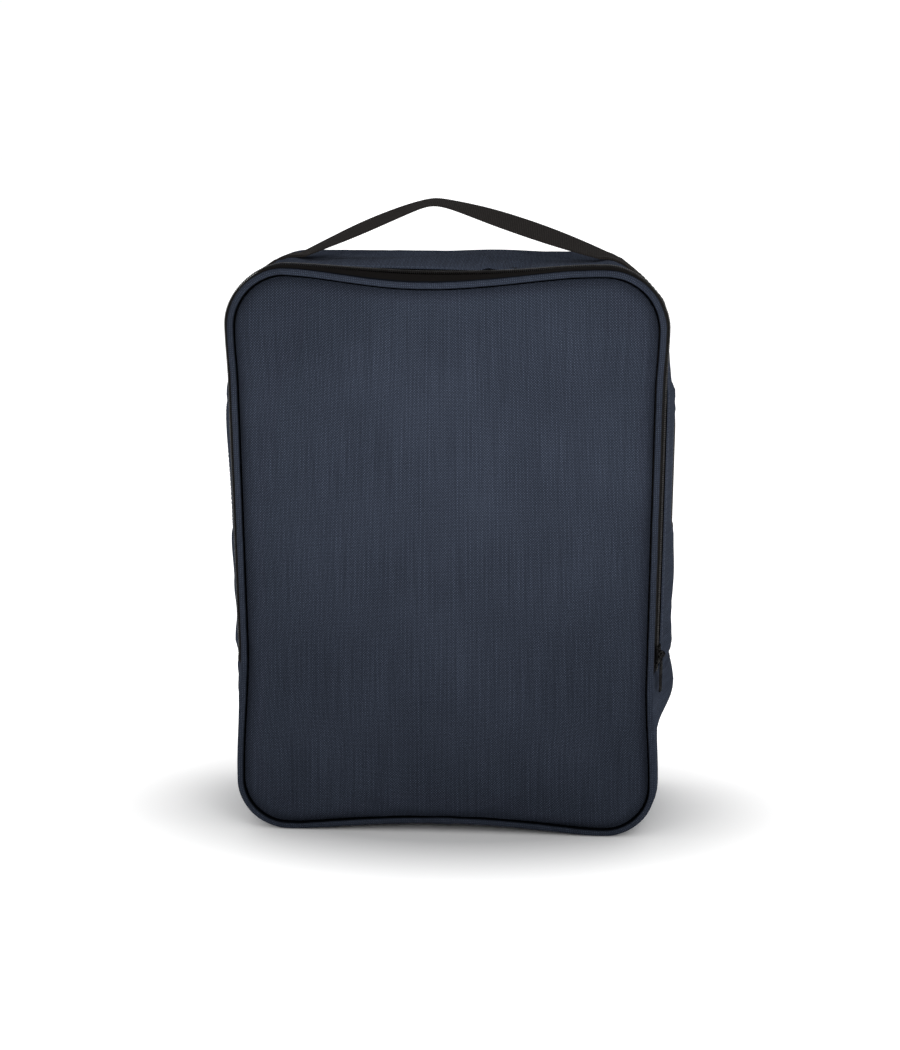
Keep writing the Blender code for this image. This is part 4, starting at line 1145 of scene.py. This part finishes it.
def cut_vents(gusset):
    """Opens the cloth over each vent and keeps the result as the mesh."""
    outline = rounded_outline(VENT_HEIGHT / 2, VENT_DEPTH / 2, VENT_RADIUS)
    cutters = []
    y, z = FRONT_Y + VENT_BACK + outline[:, 0], VENT_Z + outline[:, 1]
    for side in (1, -1):
        rings = [np.stack([np.full(len(outline), side * x), y, z], 1) for x in (0.130, 0.165)]
        cutter = add_grid("vent_cutter", np.stack(rings), [navy_sides_painted_lighter], False, True, True)
        cut = gusset.modifiers.new("vent", "BOOLEAN")
        cut.operation = "DIFFERENCE"
        cut.object = cutter
        cutters.append(cutter)
    keep_shape(gusset)
    for cutter in cutters:
        bpy.data.objects.remove(cutter)


def keep_shape(obj):
    """Makes an object's modifiers part of its mesh."""
    graph = bpy.context.evaluated_depsgraph_get()
    mesh = bpy.data.meshes.new_from_object(obj.evaluated_get(graph))
    obj.modifiers.clear()
    obj.data = mesh


def add_net_backing(name, side, reach_back, reach_z):
    """Thin black cloth that closes the vent behind its net."""
    backs = np.linspace(-reach_back, reach_back, 15)
    heights = np.linspace(-reach_z, reach_z, 21)
    back, z = np.meshgrid(VENT_BACK + backs, VENT_Z + heights)
    x = np.full(back.shape, side * HALF_WIDTH)
    points = place(x, z, gusset_out(x, z, back) - NET_SUNK - NET_BACKING, back)
    backing = add_grid(f"{name}_backing", points, [net_cloth, net_cloth])
    face_out(backing, (side, 0, 0))
    add_lining(backing, TAPE)
    shade(backing, 60)
    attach(backing, "shell")


def add_net(name, side, nodes):
    """Knitted net behind the vent: a sheet of six-sided holes, one layer of yarn thick."""
    row_height, corner_reach = NET_CELL * 0.866, NET_CELL * 0.577
    reach_z, reach_back = VENT_HEIGHT / 2 + VENT_LAP, VENT_DEPTH / 2 + VENT_LAP
    net = bmesh.new()
    for row in range(int(2 * reach_z / row_height)):
        for column in range(int(2 * reach_back / NET_CELL)):
            back = -reach_back + NET_CELL * (column + 0.5 + 0.5 * (row % 2))
            z = -reach_z + row_height * (row + 0.5)
            if abs(back) > reach_back - NET_CELL * 0.5:
                continue
            corners = []
            for angle in np.radians(np.arange(30, 390, 60)):
                across, up = corner_reach * math.cos(angle), corner_reach * math.sin(angle)
                corners.append(net.verts.new((back + across, z + up, 0)))
            net.faces.new(corners)
    bmesh.ops.remove_doubles(net, verts=net.verts, dist=0.0002)
    rims = set(bmesh.ops.inset_individual(net, faces=list(net.faces), thickness=0.00034)["faces"])
    holes = [face for face in net.faces if face not in rims]
    bmesh.ops.delete(net, geom=holes, context="FACES_ONLY")
    flat = np.array([vertex.co[:2] for vertex in net.verts])
    back, z = VENT_BACK + flat[:, 0], VENT_Z + flat[:, 1]
    x = np.full(len(back), side * HALF_WIDTH)
    for vertex, point in zip(net.verts, place(x, z, gusset_out(x, z, back) - NET_SUNK, back)):
        vertex.co = point
    mesh = bpy.data.meshes.new(name)
    add_net_backing(name, side, reach_back, reach_z)
    net.to_mesh(mesh)
    net.free()
    mesh.materials.append(net_yarn)
    obj = bpy.data.objects.new(name, mesh)
    bpy.context.scene.collection.objects.link(obj)
    solid = obj.modifiers.new("yarn", "SOLIDIFY")
    solid.thickness = NET_YARN
    solid.offset = 0
    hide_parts(*nodes)
    return obj


# ---------------------------------------------------------------- handle

def strap_height(x):
    reach = np.where(x > CREST_X, LEAVE_RIGHT - CREST_X, LEAVE_LEFT + CREST_X)
    away = np.sqrt((x - CREST_X) ** 2 + CREST_ROUND**2) - CREST_ROUND
    far = np.sqrt(reach**2 + CREST_ROUND**2) - CREST_ROUND
    return CREST_Z - (CREST_Z - LEAVE_Z) * (away / far) ** STRAP_RISE_POWER


def strap_roll(x):
    """How far the strap leans towards the front, eased between the stations of STRAP_ROLL."""
    stations, degrees = np.array(STRAP_ROLL).T
    spread = np.linspace(-0.012, 0.012, 9)
    return np.radians(np.mean([np.interp(x + shift, stations, degrees) for shift in spread], 0))


def sewn_frames(side):
    """Middle, across and up directions of the strap where it lies sewn on the corner."""
    turn = np.radians(np.linspace(*SEWN_ARC, 20))
    x = side * (HALF_WIDTH - TOP_RADIUS + TOP_RADIUS * np.cos(turn))
    z = TOP_Z - TOP_RADIUS + TOP_RADIUS * np.sin(turn)
    back = STRAP_Y - FRONT_Y
    edges = (-STRAP_WIDTH / 2, 0, STRAP_WIDTH / 2)
    under = np.max([gusset_out(x, z, back + edge + 0 * x) for edge in edges], 0)
    middle = place(x, z, under + GAP + STRAP_THICKNESS / 2, back + 0 * x)
    across = np.tile([[0.0, 1.0, 0.0]], (len(x), 1))
    return middle, across, outward_3d(x, z, back)


def free_frames():
    x = np.linspace(-STRAP_REACH_LEFT, STRAP_REACH_RIGHT, 160)
    roll = strap_roll(x)
    middle = np.stack([x, np.full_like(x, STRAP_Y), strap_height(x)], 1)
    across = np.stack([0 * x, np.cos(roll), np.sin(roll)], 1)
    tangent = np.gradient(middle, axis=0)
    up = np.cross(tangent, across)
    up /= np.linalg.norm(up, axis=1, keepdims=True)
    return middle, across, up


def strap_frames(pitch):
    """The whole strap from its left sewn end to its right one, at an even pitch."""
    left = sewn_frames(-1)
    right = [values[::-1] for values in sewn_frames(1)]
    parts = [np.concatenate(values) for values in zip(left, free_frames(), right)]
    along = lengths_along(parts[0])
    at = np.arange(0, along[-1], pitch)
    middle, across, up = [read_along(at, along, part) for part in parts]
    for values in (across, up):
        values /= np.linalg.norm(values, axis=1, keepdims=True)
    return at, middle, across, up


def rest_on_top(points, upper_columns):
    """Lifts the strap's points that would be inside the gusset.

    The first columns of points are the strap's upper face.
    """
    radius, core = TOP_RADIUS, HALF_WIDTH - TOP_RADIUS
    run = [(HALF_WIDTH, TOP_Z - radius)] + corner(1, True, 0, 90, 0.001)[1:]
    run += straight((core, TOP_Z), (-core, TOP_Z), 0.004) + corner(-1, True, 90, 180, 0.001)[:-1]
    x, z = np.array(run).T
    for column in range(points.shape[1]):
        above = STRAP_THICKNESS if column < upper_columns else 0.0
        back = points[:, column, 1].mean() - FRONT_Y
        surface = place(x, z, gusset_out(x, z, back + 0 * x), back)
        surface = surface[np.argsort(surface[:, 0])]
        least = np.interp(points[:, column, 0], surface[:, 0], surface[:, 2]) + GAP + above
        flat = np.abs(points[:, column, 0]) < LEAVE_RIGHT
        points[flat, column, 2] = np.maximum(points[flat, column, 2], least[flat])
    return points


def add_strap():
    """Ribbed webbing: the ribs run across it and show along both edges."""
    at, middle, across, up = strap_frames(RIB_PITCH / 4)
    rib = np.cos(at / RIB_PITCH * 2 * math.pi)
    half = STRAP_WIDTH / 2 - 0.0002 + 0.00013 * rib
    thick = STRAP_THICKNESS / 2 - 0.00012 + 0.00009 * rib
    shares = np.linspace(-1, 1, 14)
    columns = []
    for direction in (1, -1):
        for share in shares[::direction]:
            edge = 1 - 0.45 * smooth(abs(share), 0.93, 1.0)
            across_now = (half * share)[:, None] * across
            columns.append(middle + across_now + (direction * thick * edge)[:, None] * up)
    points = rest_on_top(np.stack(columns, 1), len(shares))
    obj = add_grid("handle_strap", points, [web_cloth], False, True, True)
    shade(obj, 50)
    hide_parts("handle_webbing", "handle_end_left", "handle_end_right")
    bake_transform(obj)
    return obj


# ---------------------------------------------------------------- thread

def add_stitches(name, lines, surface):
    """Rows of stitches: each a short arched length of thread. A line is (points, normals)."""
    vertices, faces, corners = [], [], []
    sides, steps = 5, 4
    angles = np.arange(sides) / sides * 2 * math.pi
    for points, normals in lines:
        along = lengths_along(points)
        starts = np.arange(STITCH_GAP, along[-1] - STITCH, STITCH + STITCH_GAP)
        for start in starts:
            share = np.linspace(0, 1, steps + 1)
            at = start + share * STITCH
            middle = read_along(at, along, points)
            normal = read_along(at, along, normals)
            normal /= np.linalg.norm(normal, axis=1, keepdims=True)
            middle = middle + normal * (THREAD * (1.5 * np.sin(math.pi * share) - 0.9))[:, None]
            tangent = np.gradient(middle, axis=0)
            side_way = np.cross(tangent, normal)
            side_way /= np.linalg.norm(side_way, axis=1, keepdims=True)
            first = len(vertices) * sides
            for k in range(steps + 1):
                radial = [math.cos(a) * side_way[k] + math.sin(a) * normal[k] for a in angles]
                vertices.append([middle[k] + THREAD * way for way in radial])
            for k in range(steps):
                for s in range(sides):
                    a, b = first + k * sides + s, first + k * sides + (s + 1) % sides
                    faces.append((a, b, b + sides, a + sides))
                    corners += [(at[k], s * 0.0003), (at[k], (s + 1) * 0.0003),
                                (at[k + 1], (s + 1) * 0.0003), (at[k + 1], s * 0.0003)]
    obj = add_mesh(name, np.array(vertices).reshape(-1, 3), faces, np.array(corners), [surface])
    obj.data.shade_smooth()
    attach(obj, "shell")


def hem_line(run, back):
    """A line on the gusset's hem at a depth, with the outward directions there."""
    x, z = run[:, 0], run[:, 1]
    back = back + 0 * x
    forward, drop = hem_shift(x, z, back)
    points = place(x, z, gusset_out(x, z, back) - drop, back)
    points[:, 1] -= forward
    return points, outward_3d(x, z, back)


def vent_line(side):
    away = 0.0025
    outline = rounded_outline(VENT_HEIGHT / 2 + away, VENT_DEPTH / 2 + away, VENT_RADIUS + away, 14)
    outline = np.concatenate([outline, outline[:1]])
    x = np.full(len(outline), side * HALF_WIDTH)
    return on_gusset(x, VENT_Z + outline[:, 1], VENT_BACK + outline[:, 0])


def strap_seam(side):
    """A boxed cross of stitches through the sewn end of the strap."""
    middle, across, up = sewn_frames(side)
    middle = middle + up * (STRAP_THICKNESS / 2 - 0.00005)
    rows = np.arange(len(middle))
    edge = STRAP_WIDTH / 2 - 0.0025
    first, last = 1, 15

    def line(start, end, start_share, end_share, count=24):
        at = np.linspace(start, end, count)
        shift = np.linspace(start_share, end_share, count)[:, None]
        points = read_along(at, rows, middle) + read_along(at, rows, across) * shift * edge
        return points, read_along(at, rows, up)

    box = ((first, last, -1, -1), (first, last, 1, 1), (first, first, -1, 1), (last, last, -1, 1))
    cross = ((first, last, -1, 1), (first, last, 1, -1))
    return [line(*ends) for ends in box + cross]


def add_seams():
    hem = hem_line(upper_run(ZIP_END_Z + 0.003, 0.003), GUSSET_EDGE + 0.0022)
    add_stitches("hem_stitches", [hem], navy_thread)
    add_stitches("vent_stitches", [vent_line(1), vent_line(-1)], navy_thread)
    back = np.linspace(GUSSET_EDGE + 0.001, DEPTH - RUN_BACK - 0.001, 40)
    z = np.full(40, ZIP_END_Z - 0.0030)
    cross = [on_gusset(np.full(40, side * HALF_WIDTH), z, back) for side in (1, -1)]
    add_stitches("cross_seam_stitches", cross, navy_thread)
    add_stitches("strap_stitches", strap_seam(1) + strap_seam(-1), black_thread)


# ---------------------------------------------------------------- label

def add_label():
    """A blank satin label, folded over and caught in the back binding."""
    low, high = (np.array(corner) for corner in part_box("care_label"))
    run = np.linspace(0, 1, 15)
    rise = np.linspace(low[2], high[2], 11)
    curl = 0.0022 * np.sin(run * 2.4) * run
    middle_y = (low[1] + high[1]) / 2
    points = np.stack([
        np.stack([np.full(len(rise), mix(low[0], high[0], r)), np.full(len(rise), middle_y - c), rise], 1)
        for r, c in zip(run, curl)
    ])
    points[..., 1] -= 0.0006 * np.sin(np.linspace(0, math.pi, 11))[None, :] * run[:, None]
    obj = add_grid("blank_label", points, [satin, satin])
    add_lining(obj, 0.0003)
    shade(obj, 60)
    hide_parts("care_label")
    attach(obj, "shell")


# ---------------------------------------------------------------- metal

def finish_metal():
    """The slider and its pull keep the frame's shape, with rounded edges and dark plating."""
    for name, radius in (("zip_slider", 0.00022), ("pull_tab", 0.00028)):
        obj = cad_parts[name]
        obj.data.materials.clear()
        obj.data.materials.append(gunmetal)
        flat = obj.modifiers.new("flat_faces", "DECIMATE")
        flat.decimate_type = "DISSOLVE"
        flat.angle_limit = math.radians(4)
        soft = obj.modifiers.new("soft_edges", "BEVEL")
        soft.width = radius
        soft.segments = 3
        soft.limit_method = "ANGLE"
        soft.angle_limit = math.radians(28)
        soft.harden_normals = True


# ---------------------------------------------------------------- studio

def aim(obj, direction):
    obj.rotation_mode = "QUATERNION"
    obj.rotation_quaternion = Vector(direction).to_track_quat("-Z", "Y")
    bpy.context.scene.collection.objects.link(obj)


def add_light(name, kind, watts, location, target, **settings):
    light = bpy.data.lights.new(name, kind)
    light.energy = watts
    for setting, value in settings.items():
        setattr(light, setting, value)
    obj = bpy.data.objects.new(name, light)
    obj.location = location
    aim(obj, Vector(target) - Vector(location))


def add_studio():
    """A white floor with a painted glow away from the bag, in a white room, a soft key and fill, and a
    wide soft spot on the panel.
    """
    world = bpy.data.worlds.new("studio")
    world.use_nodes = True
    sky = Nodes(world.node_tree)
    depth = sky.split(sky.node("TexCoord"))[1]
    background = world.node_tree.nodes["Background"]
    sky.feed(background.inputs["Strength"], sky.ramp(depth, -0.2, 0.5, ROOM_FRONT, ROOM_BACK))
    background.inputs["Color"].default_value = (1.0, 1.0, 1.0, 1.0)
    bpy.context.scene.world = world
    bpy.context.scene.view_settings.view_transform = "Standard"
    bpy.ops.mesh.primitive_plane_add(size=14, location=(0, 0, -0.0002))
    floor = bpy.context.object
    floor.name = "floor"
    floor_with_glow = Shader("floor_with_painted_glow", 0.9, specular=0.1)
    spot = floor_with_glow.node("TexCoord", output=3)
    floor_with_glow.colour(floor_with_glow.shades(floor_with_glow.noise(spot, 3.0), (0.3, (0.93,) * 3), (0.7, (0.95,) * 3)))
    # Painted light: the floor glows more the further it lies from the bag, none close round it and 0.7
    # further out, which leaves a painted contact shadow round the bag.
    away = floor_with_glow.node("VectorMath", floor_with_glow.scaled(spot, 0.55, 1.0, 1.0), operation="LENGTH", output=1)
    floor_with_glow.surface.inputs["Emission Color"].default_value = (1.0, 1.0, 1.0, 1.0)
    floor_with_glow.feed(floor_with_glow.surface.inputs["Emission Strength"], floor_with_glow.ramp(away, 0.075, 0.17, 0.0, 0.7))
    floor.data.materials.append(floor_with_glow.material)
    middle = (0, 0, 0.25)
    add_light("key", "AREA", 2.0, (0.42, -0.95, 0.88), middle, size=0.5)
    add_light("fill", "AREA", 1.0, (-0.70, -1.0, 0.70), middle, size=0.5)
    cone = {"spot_size": math.radians(14), "spot_blend": 1.0, "shadow_soft_size": 0.12}
    add_light("panel_light", "SPOT", 125, (0.15, -1.7, 0.95), (0.02, FRONT_Y, 0.285), **cone)


def add_camera():
    camera = bpy.data.cameras.new("camera")
    camera.sensor_width = 36
    camera.lens = 75.5
    camera.clip_start = 0.05
    obj = bpy.data.objects.new("camera", camera)
    pitch, azimuth = math.radians(CAMERA_PITCH), math.radians(CAMERA_AZIMUTH)
    level = math.cos(pitch)
    ahead = Vector((-math.sin(azimuth) * level, math.cos(azimuth) * level, -math.sin(pitch)))
    obj.location = Vector(CAMERA_TARGET) - CAMERA_DISTANCE * ahead
    aim(obj, ahead)
    bpy.context.scene.camera = obj


# ---------------------------------------------------------------- the bag

def across_fold(*pieces):
    """The front's pieces: each keeps its place, with its transform made part of its mesh."""
    for piece in pieces:
        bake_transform(piece)


def on_shell(*pieces):
    for piece in pieces:
        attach(piece, "shell")


add_camera()
add_studio()

front = add_panel("front_cloth", PANEL_CROWN, False, ("front_panel_upper", "front_panel_lower"), 11)
rear = add_panel("back_cloth", BACK_CROWN, True, ("back_panel",), 21)
across_fold(front, *add_piping(False), add_binding(False))
on_shell(rear, *add_piping(True), add_binding(True))

TAPE_ENDS = ("zip_tape_tail_left", "zip_tape_tail_right")
COIL_ENDS = ("zip_coil_tail_left", "zip_coil_tail_right")
across_fold(
    add_tape("front_zip_band", front_tape_section, ("front_zip_tape", *TAPE_ENDS), painted_shadow_strips=4),
    add_coil("front_teeth", -1, ("front_zip_coil", *COIL_ENDS)),
)
on_shell(
    add_tape("rear_zip_band", rear_tape_section, ("rear_zip_tape",)),
    add_coil("rear_teeth", 1, ("rear_zip_coil",)),
)

SIDE_RUN = TOP_Z - TOP_RADIUS - ZIP_END_Z
CORNER_RUN = math.radians(90) * TOP_RADIUS
TOP_START = SIDE_RUN + CORNER_RUN
TOP_MIDDLE = TOP_START + HALF_WIDTH - TOP_RADIUS
UPPER_CREASES = (
    (((TOP_MIDDLE - 0.027, 0.021), (TOP_MIDDLE - 0.017, 0.078)), 0.0035, 0.0027),
    (((TOP_MIDDLE - 0.029, 0.021), (TOP_MIDDLE - 0.062, 0.080)), 0.0045, 0.0032),
    (((TOP_MIDDLE - 0.040, 0.020), (TOP_MIDDLE - 0.050, 0.060)), 0.0060, -0.0024),
    (((TOP_MIDDLE - 0.075, 0.021), (TOP_MIDDLE - 0.088, 0.045)), 0.0035, -0.0016),
    (((TOP_MIDDLE + 0.030, 0.040), (TOP_MIDDLE - 0.010, 0.095)), 0.0090, 0.0012),
    (((TOP_MIDDLE + 0.095, 0.034), (TOP_MIDDLE + 0.118, 0.036)), 0.0100, 0.0012),
    (((TOP_MIDDLE - 0.028, 0.060), (TOP_MIDDLE - 0.030, 0.118)), 0.0300, 0.0030),
    (((TOP_MIDDLE + 0.044, 0.070), (TOP_MIDDLE + 0.040, 0.118)), 0.0200, -0.0020),
    (((TOP_MIDDLE + 0.080, 0.060), (TOP_MIDDLE + 0.078, 0.116)), 0.0140, 0.0014),
    (((0.0325, 0.064), (0.0165, 0.024)), 0.0045, -0.0024),
    (((0.0250, 0.070), (0.0080, 0.030)), 0.0060, 0.0014),
)
LOWER_CREASES = (
    (((0.100, 0.020), (0.060, 0.060)), 0.0060, 0.0009),
    (((0.330, 0.020), (0.365, 0.070)), 0.0060, 0.0010),
)
upper_stations = upper_run(ZIP_END_Z + GAP / 2, PITCH)
upper = add_gusset("upper_gusset_cloth", upper_stations, False, UPPER_CREASES, ("upper_gusset",), 41)
cut_vents(upper)
lower = add_gusset("lower_gusset_cloth", lapped_run(PITCH), True, LOWER_CREASES, ("lower_gusset",), 51)
shade(upper, 50)
shade(lower, 50)
on_shell(
    upper, lower,
    add_net("vent_net_right", 1, ("vent_mesh_right",)), add_net("vent_net_left", -1, ("vent_mesh_left",)),
)

add_strap()
add_seams()
add_label()
finish_metal()
